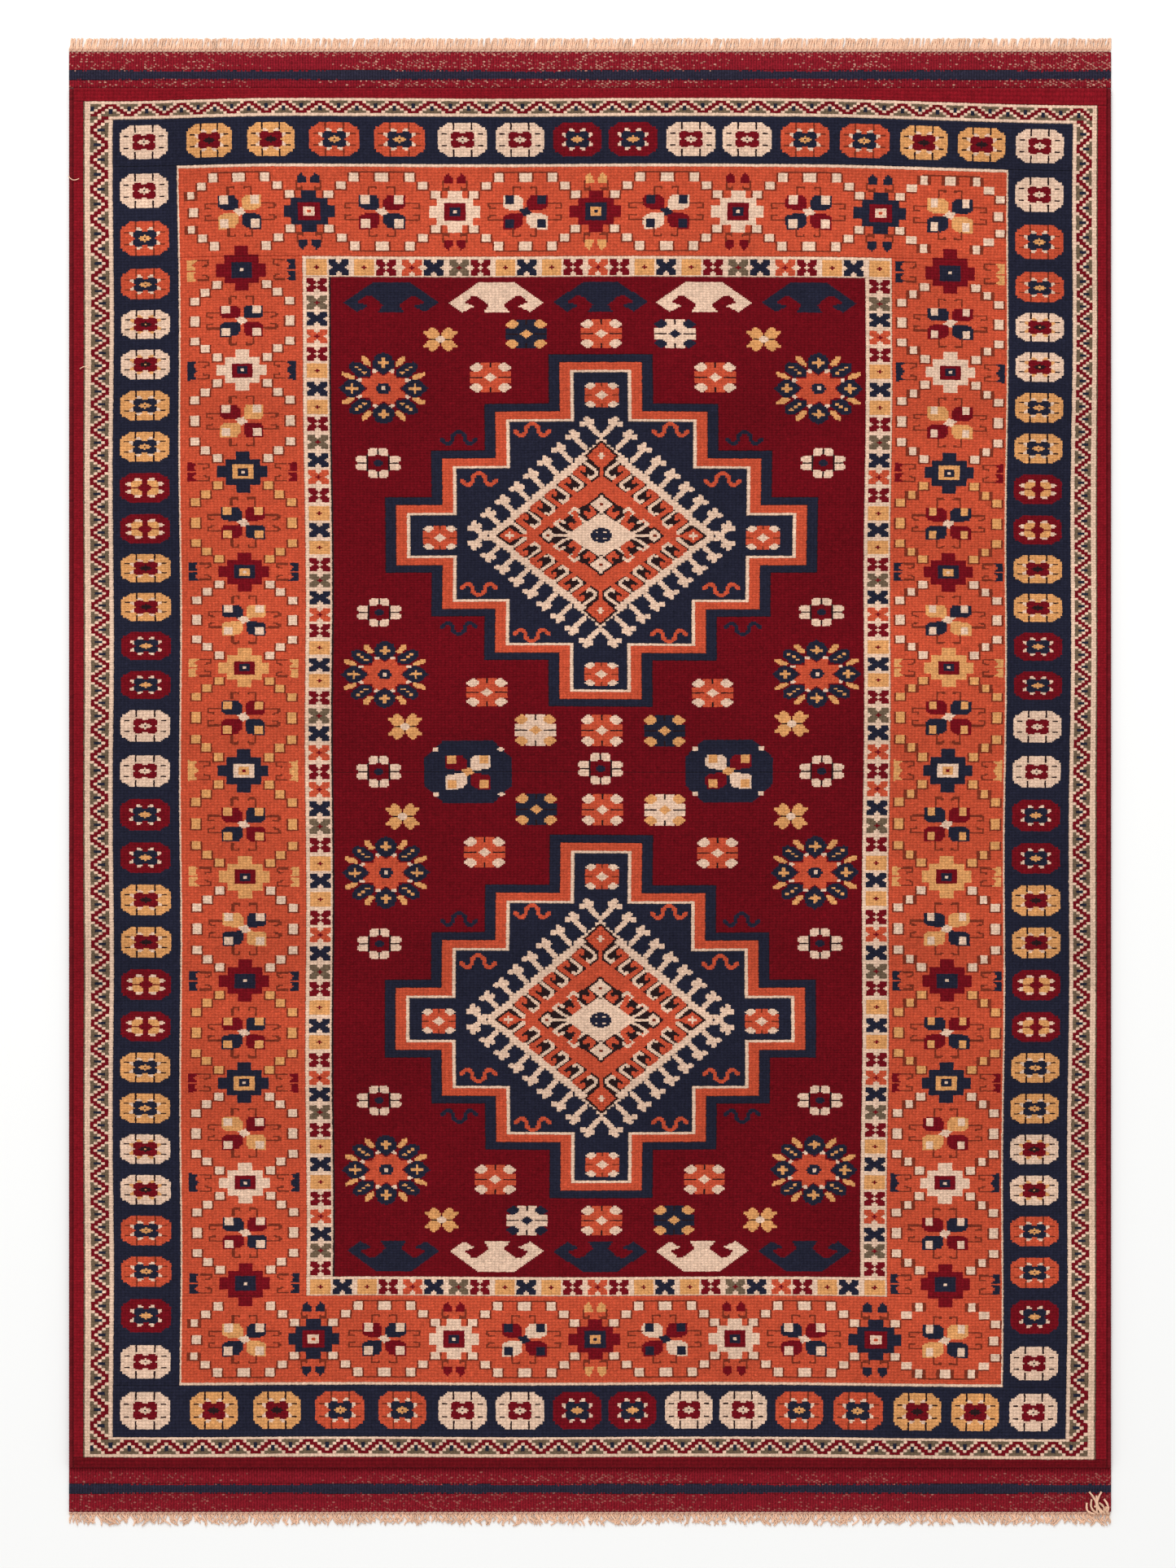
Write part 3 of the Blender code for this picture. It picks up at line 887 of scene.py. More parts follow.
def large_rosette(across, down):
    """Terracotta star in a ring of navy petals and gold buds."""
    across, down = centre_across + across, centre_down + down
    for side in (-1, 1):
        for end in (-1, 1):
            turn = (side, end)
            for petal in (END_PETAL, SIDE_PETAL, CORNER_PETAL):
                fill("N", petal, across, down, turn)
            fill("O", STAR_PETALS, across, down, turn)
            for bud in (END_BUD, SIDE_BUD):
                fill("G", bud, across, down, turn)
            for x, y in ((-7.6, -8.2), (-6.4, -7.1), (-5.2, -6.0)):
                line("G", ((x - 0.3, y), (x + 0.3, y)), across, down, turn, thick=0.6)
            line("I", ((-2.6, -6.7), (-2.2, -6.7)), across, down, turn, thick=1.0)
            line("I", ((-6.8, -3.2), (-6.5, -3.2)), across, down, turn, thick=1.0)
    for x, y in ((0, -9.9), (0, 9.9), (-8.8, 0), (8.8, 0)):
        line("G", ((-1.3, 0), (1.3, 0)), across + x, down + y, thick=0.8)
        line("G", ((0, -1.3), (0, 1.3)), across + x, down + y, thick=0.9)
    fill("N", ((-2.2, 0), (-1.2, -2), (1.2, -2), (2.2, 0), (1.2, 2), (-1.2, 2)), across, down)
    lay("I", across - 0.5, across + 0.5, down - 0.75, down + 0.75)


def navy_octagon(across, down, turn):
    """Large navy octagon with a four-petalled flower in it."""
    across, down = centre_across + across, centre_down + down
    corner = ((-12.3, 0), (-12.3, -5), (-7, -11.4), (0, -11.4), (0, 0))
    for side in (-1, 1):
        for end in (-1, 1):
            fill("N", corner, across, down, (side, end))
            line("I", ((-9.3, -8.3), (-9.1, -8.3)), across, down, (side, end), thick=1.4)
    flower(across, down, "R", "I", "G", "G", 0.95, turn)


lay("D", field_left, field_right, field_far, field_near)
lay("K", field_left, field_left + 0.5, field_far, field_near)
for place, dye in zip((-58.4, -29.2, 0, 28.8, 57.9), "NININ"):
    for side in (-1, 1):
        fill(dye, HORNS, centre_across + place, field_far + 8.2, (side, 1))
        fill(dye, HORNS, centre_across + place, field_near - 8.2, (side, -1))
for down, order in ((-171.6, "NOI"), (172.0, "ION")):
    for across, kind in zip((-20.8, 0, 20.6), order):
        octagon(across, down, kind, END_ACCENTS[kind], END_ACCENTS[kind])
for across in (-44.7, 45.0):
    for down in (-169.6, 172.0):
        stamp(GOLD_STAR, centre_across + across, centre_down + down, STAR_DYES)
for across, down in ((-30.8, -155.0), (31.6, -155.0), (-31.6, -29.4), (31.2, -29.4),
                     (-33.0, 30.4), (32.6, 30.4), (-30.0, 156.0), (29.4, 156.0)):
    octagon(across, down, "O", "I", "I")
for across in (-60.5, 60.3):
    for down in (-150.6, -36.8, 37.8, 152.6):
        large_rosette(across, down)
for down in (-121.5, -62.4, 0.5, 64.6, 125.0):
    for across in (-62.4, 62.0):
        stamp(IVORY_RING, centre_across + across, centre_down + down, RING_DYES)
stamp(IVORY_RING, centre_across, centre_down - 1, RING_DYES)
for across, down in ((-54.8, -16.4), (53.0, -17.2), (-55.8, 16.8), (53.2, 16.8)):
    stamp(GOLD_STAR, centre_across + across, centre_down + down, STAR_DYES)
for down, order in ((-14.6, "ION"), (14.0, "NOI")):
    for across, kind in zip((-18.2, 0, 17.6), order):
        octagon(across, down, kind, MIDDLE_ACCENTS[kind], MIDDLE_ACCENTS[kind])
navy_octagon(-37.2, 0.5, 1)
navy_octagon(35.6, 0, -1)


# ---------------------------------------------------------------- medallions
# Two stepped medallions side by side down the field. Each has a navy outline, a terracotta band
# with an ivory edge, a navy ground, and a hooked ivory diamond round a terracotta heart.
MEDALLION_PLACE = 93.5       # rows from the field's middle to a medallion's middle
STEPS_ACROSS = (60.5, 47.5, 32.5, 14.5)
STEPS_DOWN = (15.5, 33.0, 51.5, 70.0)
OUTLINE, BAND, IVORY_EDGE = 3, 3, 1
DIAMOND = (32.4, 37.8)
DIAMOND_FRAME = 3.6
HOOK_LOBES = ((-1.2, 0.7), (0.1, -1.2), (1.4, -0.1), (0.1, 0.4))
SMALL_OCTAGON = """
..AAA.PPPL
.AAAAAPPPL
AAAAAAPPPL
.AAAAPPPPP
PPAAPPPPPP
PPPPPPPPPP
PPPPPPPPPC
PPPPPPPPCC
PPPPPPPCCC
LLLLPPCCCC
"""


def stepped(across, down, inset):
    """Knots inside the stepped outline, moved inwards by inset on every side."""
    x = np.abs(np.arange(COLUMNS) + 0.5 - across)[None, :]
    y = np.abs(np.arange(ROWS) + 0.5 - down)[:, None]
    inside = np.zeros((ROWS, COLUMNS), bool)
    for wide, tall in zip(STEPS_ACROSS, STEPS_DOWN):
        inside |= (x < wide - inset) & (y < tall - inset)
    return inside


def lozenge(across, down, half_width, half_height):
    """Knots inside a diamond: the shares of its half width and half height add up to under 1."""
    x = np.abs(np.arange(COLUMNS) + 0.5 - across)[None, :]
    y = np.abs(np.arange(ROWS) + 0.5 - down)[:, None]
    return x / half_width + y / half_height < 1


def colour_knots(knots, dye):
    """Gives whole knots a dye."""
    chart[doubled(knots)] = DYES.index(dye)


def quarters(draw, dye, points, across, down, **extra):
    """Draws a figure in all four quarters round a place."""
    for turn in ((1, 1), (-1, 1), (1, -1), (-1, -1)):
        draw(dye, points, across, down, turn, **extra)


def diamond_heart(across, down):
    """Terracotta lozenge with hooks of two dyes on both its sides, round an ivory centre."""
    rail = ((0, -23.5), (-21.5, -1), (-27, -0.9), (-27, 0), (-17, 0), (0, -16.3))
    quarters(fill, "O", rail, across, down)
    for k in range(5):
        shift = np.array((-4.0 * k, 4.6 * k))
        quarters(line, "O", np.array(((-5.0, -25.2), (-5.6, -26.3), (-7.4, -24.3), (-3.4, -20.4))) + shift,
                 across, down, thick=1.35)
    for k in range(6):
        shift = np.array((-3.95 * k, 4.7 * k))
        outer_hook = ((-5.2, -28.6), (-3.4, -26.7), (-1.6, -24.9), (-1.4, -23.7), (-2.9, -22.1),
                      (-3.7, -22.8))
        quarters(line, "I", np.array(outer_hook) + shift, across, down, thick=0.85)
    for k in range(2):
        shift = np.array((-4.3 * k, 4.4 * k))
        inner_hook = ((-4.6, -5.2), (-7.5, -7.7), (-8.9, -8.8), (-7.5, -10.4), (-6.2, -9.3))
        quarters(line, "O", np.array(((-3.4, -13.0), (-1.9, -9.3), (-3.3, -7.5), (-4.3, -8.6))) + shift,
                 across, down, thick=1.45)
        quarters(line, "I", np.array(inner_hook) + shift, across, down, thick=0.85)
    for x, y, wide, tall in ((0, 30.6, 3.9, 5.2), (25.6, 0, 3.2, 3.0)):
        for side in (-1, 1):
            place = (across + side * x, down + side * y)
            edge = ((-wide - 1, 0), (0, -tall - 1.2), (wide + 1, 0), (0, tall + 1.2))
            fill("K", edge, *place)
            fill("O", ((-wide, 0), (0, -tall), (wide, 0), (0, tall)), *place)
            line("I", ((-1.0, 0), (1.0, 0)), *place, thick=0.5)
            line("I", ((0, -1.2), (0, 1.2)), *place, thick=0.5)
    for end in (-1, 1):
        line("O", ((0, 22 * end), (0, 26 * end)), across, down, thick=1.0)
        line("O", ((20 * end, 0), (23 * end, 0)), across, down, thick=1.0)
    fill("I", ((-9.6, 0), (0, -9.4), (9.6, 0), (0, 9.4)), across, down)
    for side in (-1, 1):
        fill("K", ((-4, 0), (0, -4.4), (4, 0), (0, 4.4)), across, down + side * 12.2)
        fill("I", ((-3.1, 0), (0, -3.6), (3.1, 0), (0, 3.6)), across, down + side * 12.0)
        line("I", ((0, 9 * side), (0, 13 * side)), across, down, thick=1.0)
        lay("B", across - 0.5, across + 0.5, down + side * 12 - 0.5, down + side * 12 + 0.5)
        fill("K", ((-3, 0), (0, -3.4), (3, 0), (0, 3.4)), across + side * 14.8, down)
        line("I", ((9 * side, 0), (14 * side, 0)), across, down, thick=0.5)
        fill("I", ((-2.1, 0), (0, -2.5), (2.1, 0), (0, 2.5)), across + side * 14.8, down)
        lay("B", across + side * 14.8 - 0.5, across + side * 14.8 + 0.5, down - 0.5, down + 0.5)
    eye = ((-3.2, 0), (-2.2, -2.3), (0, -3.1), (2.2, -2.3), (3.2, 0), (2.2, 2.3), (0, 3.1), (-2.2, 2.3))
    fill("N", eye, across, down)
    for x, y in ((0, 0), (-1.25, -1.25), (1.25, -1.25), (-1.25, 1.25), (1.25, 1.25)):
        lay("I", across + x - 0.5, across + x + 0.25, down + y - 0.25, down + y + 0.25)


field_area = np.zeros((ROWS, COLUMNS), bool)
field_area[field_far:field_near, field_left:field_right] = True
medallion_area = np.zeros_like(field_area)
medallions = {}
for end, toward in (("far", -1), ("near", 1)):
    across, down = centre_across, centre_down + toward * MEDALLION_PLACE
    whole_medallion = stepped(across, down, 0)
    inside_outline = stepped(across, down, OUTLINE)
    inside_band = stepped(across, down, OUTLINE + BAND)
    ground = stepped(across, down, OUTLINE + BAND + IVORY_EDGE)
    diamond = lozenge(across, down, *DIAMOND)
    reach = (DIAMOND[0] - DIAMOND_FRAME) / DIAMOND[0]
    heart = lozenge(across, down, DIAMOND[0] * reach, DIAMOND[1] * reach)
    colour_knots(whole_medallion, "N")
    colour_knots(inside_outline, "O")
    colour_knots(inside_band, "I")
    colour_knots(ground, "N")
    for x, y in ((0, -54.5), (0, 56.5), (-45.4, 0.5), (45.4, 0.5)):
        stamp(SMALL_OCTAGON, across + x, down + y, {"A": "I", "P": "O", "C": "I", "L": "B"})
    for k in range(9):
        head = (-35.7 + 3.95 * k, -3.6 - 5.02 * k)
        for lobe in HOOK_LOBES:
            quarters(line, "I", np.array((lobe, lobe)) + head, across, down, thick=1.7)
        quarters(line, "I", np.array(((0, 0), (3.4, 4.8))) + head, across, down, thick=1.45)
    hooks = np.array([list(line_of) for line_of in HOOK_PAIR.split()]) == "W"
    for x, y in ((19.4, 43.8), (34.0, 24.8), (39.8, 41.0)):
        for side in (-1, 1):
            for up in (-1, 1):
                figure = hooks if up == -1 else hooks[::-1]
                top = round(2 * (down + up * y)) - (0 if up == -1 else len(hooks))
                left = round(2 * (across + side * x) - hooks.shape[1] / 2)
                place = chart[top:top + hooks.shape[0], left:left + hooks.shape[1]]
                place[figure] = DYES.index("N" if x > 35 else "O")
    colour_knots(diamond, "I")
    colour_knots(heart, "K")
    diamond_heart(across, down)
    medallion_area |= whole_medallion
    medallions[end] = (("outline", whole_medallion & ~inside_outline, navy_wool, "navy_pile"),
                       ("band", inside_outline & ~ground, terracotta_wool, "terracotta_pile"),
                       ("ground", ground & ~diamond, navy_wool, "navy_pile"),
                       ("diamond", diamond & ~heart, guard_wool, "guard_pile"),
                       ("heart", heart, terracotta_wool, "terracotta_pile"))

far_half = np.arange(ROWS)[:, None] < centre_down
for end, half in (("far", far_half), ("near", ~far_half)):
    field_knots = field_area & ~medallion_area & half
    piece = knotted_mat("pile_field_" + end, field_knots, madder_wool)
    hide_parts("field_" + end)
    for layer, knots, material, slot in medallions[end]:
        node = "medallion_" + layer + "_" + end
        piece = knotted_mat("pile_" + node, knots, material)
        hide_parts(node)


# ---------------------------------------------------------------- ground weave
# Wool warps and wefts that carry the knots. Its face is hidden by the pile. Every knot shows on
# its back as a small loop, so the back carries the same pattern, mirrored and flatter.
GROUND_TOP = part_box("ground_weave")[1][2]
BACK_STEP = 4                # half knots in one face of the back, each way
BACK_RELIEF = 0.0003         # unevenness of the back
PALE_DYES = "IG"             # these win on the back where a thin line shares a face with its ground
PALE_WEIGHT = 1.6


def closed_sheet(name, x, y, top, bottom, face_colours, point_light_and_tone, material, ratio=1.0):
    """Closed slab over a grid of points, row 0 far and column 0 left, with a height above and
    below each point, a colour for each face and a shade for each point."""
    height, width = x.shape[0] - 1, x.shape[1] - 1
    stride = width + 1
    vertices = np.concatenate([np.stack([x, y, top], -1).reshape(-1, 3),
                               np.stack([x, y, bottom], -1).reshape(-1, 3)])
    row, column = (index.ravel() for index in np.indices((height, width)))
    far_left = row * stride + column
    upper = np.stack([far_left + stride, far_left + stride + 1, far_left + 1, far_left], 1)
    lower = upper[:, ::-1] + x.size
    outline = np.concatenate([height * stride + np.arange(width), np.arange(height, 0, -1) * stride + width,
                              np.arange(width, 0, -1), np.arange(height) * stride])
    after = np.roll(outline, -1)
    walls = np.stack([outline + x.size, after + x.size, after, outline], 1)
    faces = np.concatenate([upper, lower, walls])

    point_row, point_column = (faces % x.size) // stride, (faces % x.size) % stride
    own_row = np.minimum(point_row.min(1), height - 1)
    own_column = np.minimum(point_column.min(1), width - 1)
    colours = face_colours[own_row, own_column][:, None, :] * point_light_and_tone[point_row, point_column][:, :, None]
    places = lane_places(point_column, own_column, width, point_row / height, ratio)
    level = np.concatenate([np.full(len(upper), 0.54), np.full(len(lower), 0.06), np.full(len(walls), 0.0)])
    span = np.concatenate([np.full(len(upper), 0.46), np.full(len(lower), 0.46), np.full(len(walls), 0.02)])
    places[:, :, 1] = level[:, None] + span[:, None] * places[:, :, 1]
    run = np.arange(len(walls))[:, None] + np.array([0, 1, 1, 0])
    rise = np.tile([0.0, 0.0, 0.02, 0.02], (len(walls), 1))
    places[-len(walls):] = np.stack([run / len(walls), 0.01 + rise], -1)
    piece = mesh_piece(name, vertices, np.full(len(faces), 4), faces.ravel(), colours.reshape(-1, 3),
                       places.reshape(-1, 2))
    piece.data.materials.append(material)
    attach(piece, "root")
    return piece


back_rows = np.append(np.arange(0, 2 * ROWS, BACK_STEP), 2 * ROWS)
back_columns = np.append(np.arange(0, 2 * COLUMNS, BACK_STEP), 2 * COLUMNS)
back_x = tuft_x[np.ix_(back_rows, back_columns)]
back_y = tuft_y[np.ix_(back_rows, back_columns)]
blocks = chart.reshape(len(back_rows) - 1, BACK_STEP, len(back_columns) - 1, BACK_STEP)
dye_shares = [(blocks == number).sum((1, 3)) * (PALE_WEIGHT if dye in PALE_DYES else 1.0)
              for number, dye in enumerate(DYES)]
back_dyes = DYE_COLOURS[np.argmax(dye_shares, axis=0)]
back_knots = knot_tone_and_edge_shade[np.ix_(back_rows[:-1] // 2, back_columns[:-1] // 2)]
ground_wool = wool("ground_wool", fibre=500.0)
ground = closed_sheet("ground_weave_wool", back_x, back_y, np.full_like(back_x, GROUND_TOP),
                      luck.uniform(0, BACK_RELIEF, back_x.shape), back_dyes * back_knots[:, :, None],
                      luck.uniform(0.86, 1.0, back_x.shape), ground_wool)
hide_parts("ground_weave")


# ---------------------------------------------------------------- selvedges
# The outermost warps on each long side are overcast with madder wool. Each wrap of the wool is
# a slanting ridge round the cord.
WRAP_PITCH = 0.0034
WRAP_RELIEF = 0.09           # depth of the groove between two wraps, as a share of the radius
SELVEDGE_PRESS = 0.0009      # the wrapping bulges against the pile by this much


def rods(name, rings, colours, material, folds=1):
    """Closed rods of rings of points, given by rod, ring, side and axis, with a colour for each.

    Sides go anticlockwise, seen from the rod's end. Each rod has a lane of the UV map, or as
    many lanes as folds says.
    """
    count, length, sides = rings.shape[:3]
    index = np.arange(count * length * sides).reshape(count, length, sides)
    here, there = index[:, :-1], index[:, 1:]
    walls = np.stack([here, np.roll(here, -1, 2), np.roll(there, -1, 2), there], -1).reshape(-1, 4)
    starts, ends = index[:, 0, ::-1], index[:, -1]

    rod, ring, side = (part.ravel() for part in np.indices(here.shape))
    lane_rings = math.ceil((length - 1) / folds)
    fold = ring // lane_rings
    lane = (rod * folds + fold)[:, None]
    wall_u = (lane + (side[:, None] + np.array([0, 1, 1, 0])) / sides) / (count * folds)
    wall_v = 0.03 + 0.94 * ((ring - fold * lane_rings)[:, None] + np.array([0, 0, 1, 1])) / lane_rings
    turn = 2 * math.pi * np.arange(sides) / sides
    cap_u = (np.arange(count)[:, None] * folds + 0.5 + 0.4 * np.cos(turn)) / (count * folds)
    start_v = np.tile(0.012 + 0.010 * np.sin(turn), (count, 1))
    places = np.concatenate([np.stack([wall_u, wall_v], -1).reshape(-1, 2),
                             np.stack([cap_u, start_v], -1).reshape(-1, 2),
                             np.stack([cap_u, 0.976 + start_v], -1).reshape(-1, 2)])
    sizes = np.concatenate([np.full(len(walls), 4), np.full(2 * count, sides)])
    corners = np.concatenate([walls.ravel(), starts.ravel(), ends.ravel()])
    piece = mesh_piece(name, rings.reshape(-1, 3), sizes, corners, colours.reshape(-1, 3)[corners], places)
    piece.data.materials.append(material)
    piece.data.shade_smooth()
    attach(piece, "root")
    return piece


selvedge_wool = wool("selvedge_wool")
for side in ("left", "right"):
    low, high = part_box("selvedge_" + side)
    along = np.arange(low[1], high[1], WRAP_PITCH / 3)
    turn = 2 * math.pi * np.arange(10) / 10
    wrap = along[:, None] / WRAP_PITCH + turn / (2 * math.pi)
    ridge = 1 - WRAP_RELIEF * (0.5 - 0.5 * np.cos(2 * math.pi * wrap))
    wool_shade = luck.normal(1.0, 0.09, int(wrap.max() - wrap.min()) + 3)
    # Painted shade: each wrap's own tone is darkened in the groove between two wraps.
    shade = wool_shade[np.floor(wrap - wrap.min()).astype(int)] * (2 * ridge - 1)
    pressed = np.where(np.cos(turn) * low[0] < 0, SELVEDGE_PRESS, 0.0)
    x = (low[0] + high[0]) / 2 + ((high[0] - low[0]) / 2 + pressed) * ridge * np.cos(turn)
    z = (high[2] + 2 * SELVEDGE_PRESS) / 2 * (1 + ridge * np.sin(turn))
    ring_points = np.stack([x, np.broadcast_to(along[:, None], x.shape), z], -1)[None, ::-1]
    cord_colours = (dye_colour(112, 22, 30) * shade[:, :, None])[None, ::-1]
    cord = rods("overcast_edge_" + side, ring_points, cord_colours, selvedge_wool, folds=12)
    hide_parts("selvedge_" + side)


# ---------------------------------------------------------------- flat-woven ends
# At each end the weft covers the warps, in madder with one navy stripe. Its rows bend over the
# warps as fine ribs, and the pale warps show through in slanting flecks where the weft is thin.
RIB_PITCH = 0.0033
WEFT_PITCH = 0.0016
RIB_RELIEF = 0.0005
WEFT_RELIEF = 0.00025
WEFT_MADDER = dye_colour(132, 24, 36)
WEFT_NAVY = dye_colour(42, 40, 56)
WARP_CREAM = dye_colour(232, 190, 164)
STRIPE_WAVE = 0.0012         # how far the stripe's edges wander
SHOW_THROUGH = {"far": 1.0, "near": 0.45}    # how clearly the warps show


def nearness(values, middle_value, width):
    """1 at a value, falling off on both sides as e to the minus square of distance over width."""
    return np.exp(-((values - middle_value) / width) ** 2)


flat_wool = {"madder": wool("flatweave_madder_wool", fibre=600.0),
             "navy": wool("flatweave_navy_wool", fibre=600.0)}
for end, outward in (("far", 1), ("near", -1)):
    outer_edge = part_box("flatweave_outer_" + end)[1 if outward > 0 else 0][1]
    stripe_low, stripe_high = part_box("flatweave_stripe_" + end)
    stripe_middle, stripe_half = (stripe_low[1] + stripe_high[1]) / 2, (stripe_high[1] - stripe_low[1]) / 2
    for band in ("inner", "stripe", "outer"):
        low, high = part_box("flatweave_" + band + "_" + end)
        ribs = round((high[0] - low[0]) / RIB_PITCH)
        wefts = max(4, round((high[1] - low[1]) / WEFT_PITCH))
        rib, weft = np.meshgrid(np.arange(2 * ribs + 1), np.arange(wefts + 1))
        x = low[0] + (high[0] - low[0]) * rib / (2 * ribs)
        y = high[1] + (low[1] - high[1]) * weft / wefts
        edge = (weft > 0) & (weft < wefts) & (rib > 0) & (rib < 2 * ribs)
        x = x + edge * luck.normal(0, 0.00012, x.shape)
        y = y + edge * luck.normal(0, 0.00012, x.shape)
        on_rib = rib % 2 == 1
        top = high[2] - RIB_RELIEF * ~on_rib + luck.normal(0, WEFT_RELIEF, x.shape) - 0.0002
        middle_x = (x[:-1, :-1] + x[1:, 1:]) / 2
        middle_y = (y[:-1, :-1] + y[1:, 1:]) / 2
        wave = np.sin(middle_x * 17) + 0.6 * np.sin(middle_x * 41 + 1)
        stripe_reach = stripe_half + STRIPE_WAVE * (wave * 0.5 - 0.6) + luck.normal(0, 0.0005, wave.shape)
        is_navy = (np.abs(middle_y - stripe_middle) < stripe_reach) & (band == "stripe")
        dye = np.where(is_navy[:, :, None], WEFT_NAVY, WEFT_MADDER)
        row_shade = luck.normal(1.0, 0.06, (wefts, 1)) * luck.normal(1.0, 0.10, middle_x.shape)
        bare = 0.5 + 0.3 * np.sin(middle_x * 9 + 2) + 0.25 * np.sin(middle_x * 23 + 0.5)
        off_stripe = np.abs(middle_y - stripe_middle) - stripe_half
        thin = (0.75 * nearness(middle_y, outer_edge, 0.0045)
                + 0.60 * bare * nearness(off_stripe, 0.003, 0.0045)
                + 0.45 * bare * nearness(off_stripe, 0.010, 0.0035))
        slant = np.sin(2 * math.pi * (middle_x + 1.7 * middle_y) / (2 * RIB_PITCH)) > 0.1
        drawn = np.repeat(luck.random((wefts, ribs)), 2, axis=1)
        shows = (drawn < thin) & slant & ~is_navy
        strength = np.repeat(luck.uniform(0.08, 0.5, (wefts, ribs)), 2, axis=1) * SHOW_THROUGH[end]
        shown = np.where(shows, strength, 0.0)[:, :, None]
        dye = (dye * (1 - shown) + WARP_CREAM * shown) * row_shade[:, :, None]
        # Painted light and shade: rib tops painted lighter and the grooves between ribs darker, times a
        # little random tone.
        point_light_and_tone = np.where(on_rib, 1.16, 0.66) * luck.normal(1.0, 0.04, x.shape)
        colour = "navy" if band == "stripe" else "madder"
        cloth = closed_sheet("kilim_" + band + "_" + end, x, y, top, np.full_like(x, low[2]), dye, point_light_and_tone,
                             flat_wool[colour], ratio=20)
        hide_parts("flatweave_" + band + "_" + end)


# ---------------------------------------------------------------- twining
# Between each flat weave and the fringe, a cream and a madder strand are twisted round each other
# and round every pair of warps, so that they lock the weft. They show as a slanting dotted line.
TWINE_PITCH = 0.0066
TWINE_RELIEF = 0.16
TWINE_MADDER = dye_colour(150, 52, 52)

warp_wool = wool("warp_wool", fibre=700.0)
for end in ("far", "near"):
    low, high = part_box("twining_" + end)
    along = np.arange(low[0], high[0], TWINE_PITCH / 5)
    turn = 2 * math.pi * np.arange(8) / 8
    phase = 2 * math.pi * along[:, None] / TWINE_PITCH + turn
    ridge = 1 - TWINE_RELIEF * (0.5 - 0.5 * np.cos(2 * phase))
    y = (low[1] + high[1]) / 2 + (high[1] - low[1]) / 2 * ridge * np.cos(turn)
    z = (low[2] + high[2]) / 2 + (high[2] - low[2]) / 2 * ridge * np.sin(turn)
    ring_points = np.stack([np.broadcast_to(along[:, None], y.shape), y, z], -1)[None]
    is_cream = (np.sin(phase) > -0.72)[:, :, None]
    # Painted shade: the cream and madder strands are darkened in the grooves of the twist.
    cord_colours = np.where(is_cream, WARP_CREAM, TWINE_MADDER) * (1.3 * ridge - 0.3)[:, :, None]
    twine = rods("twined_cord_" + end, ring_points, cord_colours[None], warp_wool, folds=12)
    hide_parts("twining_" + end)


# ---------------------------------------------------------------- fringes
# The fringe is the warps themselves, cut short in pairs that stay twisted together. The far one
# is dense and even; the near one is thinner, and its ends have curled and frayed.
STRAND_PITCH = 0.0024
STRAND_RADIUS = 0.0013
FRINGE_STYLE = {             # rings, slant, curl, shortest length as a share, thickness
    "far": (6, 0.0030, 0.0009, 0.88, 1.15),
    "near": (8, 0.0012, 0.0042, 0.55, 0.95),
}
CREAM = dye_colour(240, 196, 166)


def yarn(name, centres, radii, across, colour):
    """Twisted yarns along lists of points that run flat: a six-sided ring round each point, made
    oval by the cosine of twice the turn, and turned further from ring to ring by across."""
    run = np.gradient(centres, axis=1)
    run /= np.linalg.norm(run, axis=2, keepdims=True)
    side = np.stack([run[:, :, 1], -run[:, :, 0], np.zeros_like(run[:, :, 0])], -1)
    side /= np.linalg.norm(side, axis=2, keepdims=True)
    up = np.cross(run, side)
    turn = 2 * math.pi * np.arange(6) / 6
    twist = 1 + 0.16 * np.cos(2 * turn + across * np.arange(centres.shape[1])[None, :, None])
    reach = radii[:, :, None] * twist
    rings = (centres[:, :, None] + side[:, :, None] * (reach * np.cos(turn))[..., None]
             + up[:, :, None] * (reach * np.sin(turn))[..., None])
    # Painted light and shade: each strand's own tone is lifted on the bulges of its twist and darkened in
    # its grooves.
    shade = luck.normal(1.0, 0.07, (len(centres), 1, 1)) * (1.35 * twist - 0.38) * np.ones_like(reach)
    return rods(name, rings, colour * shade[..., None], warp_wool)


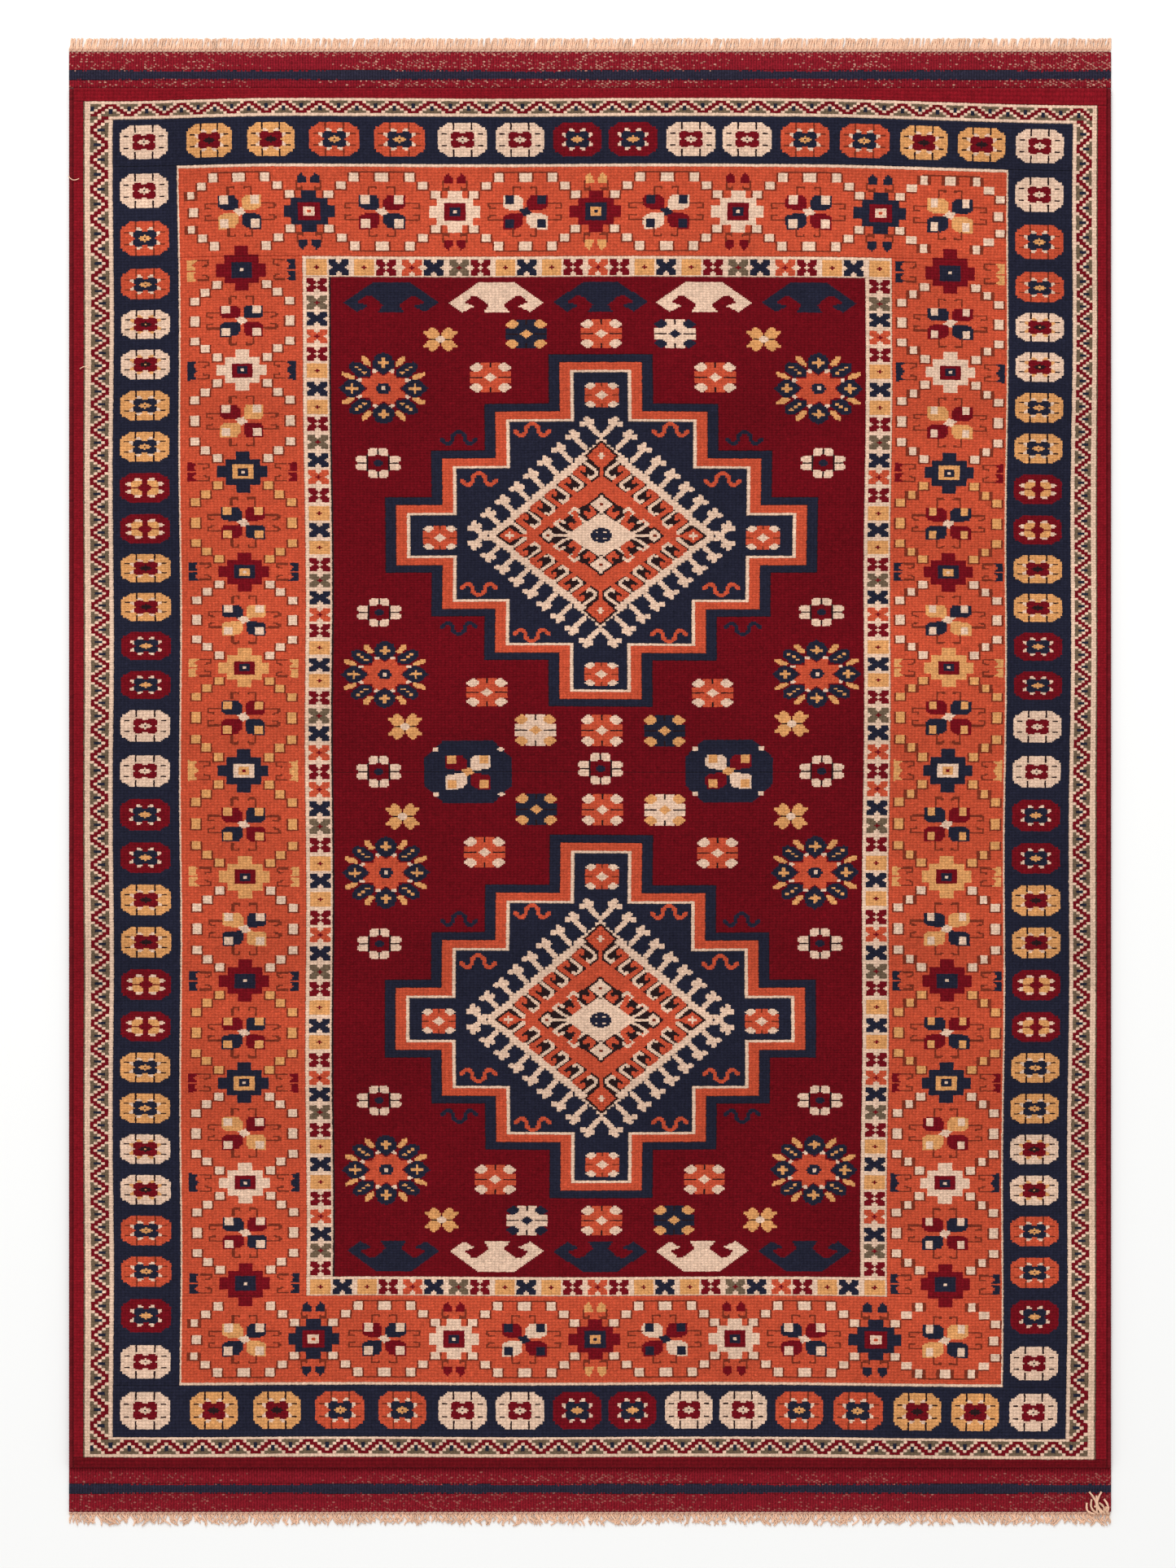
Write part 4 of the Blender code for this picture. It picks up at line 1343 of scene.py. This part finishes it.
for end, outward in (("far", 1), ("near", -1)):
    low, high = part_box("fringe_" + end)
    rings, slant, curl, shortest, thickness = FRINGE_STYLE[end]
    strands = round((high[0] - low[0]) / STRAND_PITCH)
    share = np.linspace(0, 1, rings)[None, :]
    root = low[0] + STRAND_PITCH * (np.arange(strands)[:, None] + 0.5)
    root = root + luck.normal(0, 0.0003, (strands, 1))
    length = (high[1] - low[1] + 0.0006) * luck.uniform(shortest, 1.0, (strands, 1))
    swing = luck.normal(0, 1, (strands, 1)) * curl * share ** 1.5
    wave = share * luck.uniform(2, 6, (strands, 1)) + luck.uniform(0, 6, (strands, 1))
    swirl = curl * np.sin(wave) * share
    x = root + slant * share * luck.uniform(0.6, 1.4, (strands, 1)) + swing + swirl
    x = np.clip(x, low[0] + 0.001, high[0] - 0.001)
    base = low[1] - 0.0005 if outward > 0 else high[1] + 0.0005
    y = base + outward * length * share
    z = np.full_like(x, (low[2] + high[2]) / 2) + luck.normal(0, 0.0007, (strands, 1)) * share ** 0.3
    radii = STRAND_RADIUS * thickness * (1 - 0.25 * share) * luck.uniform(0.85, 1.1, (strands, 1))
    fringe = yarn("warp_ends_" + end, np.stack([x, y, np.maximum(z, radii)], -1), radii, 1.4, CREAM)
    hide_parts("fringe_" + end)


# ---------------------------------------------------------------- loose threads
# A lock of the near fringe has flipped back over the flat weave at the right corner, and two
# stray ends of warp lie on the left edge.
def loose_threads(name, starts, ends, bows, height, radius):
    """Thin yarns from start to end, bowed sideways at their middle."""
    share = np.linspace(0, 1, 12)[None, :]
    start, end = np.array(starts)[:, :, None], np.array(ends)[:, :, None]
    bow = np.array(bows)[:, None] * np.sin(math.pi * share)
    run = end - start
    x = start[:, 0] + run[:, 0] * share - run[:, 1] * bow
    y = start[:, 1] + run[:, 1] * share + run[:, 0] * bow
    z = height + 0.0012 * np.sin(math.pi * share) * np.ones_like(x)
    piece = yarn(name, np.stack([x, y, z], -1), np.full_like(x, radius), 1.6, CREAM)


LOCK_BOWS = (0.20, -0.16, 0.28, -0.22, 0.12, -0.30, 0.24, -0.12, 0.3)
LOCK_HEIGHT = 0.0046
STRAY_HEIGHT = 0.0098
corner_x, corner_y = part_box("fringe_near")[1][0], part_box("fringe_near")[1][1]
lock = range(len(LOCK_BOWS))
lock_roots = [(corner_x - 0.003 - 0.0021 * k, corner_y + 0.001) for k in lock]
lock_tips = [(corner_x - 0.006 - 0.0030 * k, corner_y + 0.010 + 0.0045 * (k * 2 % 5)) for k in lock]
loose_threads("flipped_lock", lock_roots, lock_tips, LOCK_BOWS, LOCK_HEIGHT, STRAND_RADIUS)
edge_x, far_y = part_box("selvedge_left")[0][0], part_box("selvedge_left")[1][1]
stray_starts = ((edge_x, far_y - 0.1085), (edge_x + 0.014, far_y - 0.345))
stray_ends = ((edge_x + 0.013, far_y - 0.1115), (edge_x + 0.026, far_y - 0.3445))
loose_threads("stray_threads", stray_starts, stray_ends, (-0.25, 0.2), STRAY_HEIGHT, 0.0005)
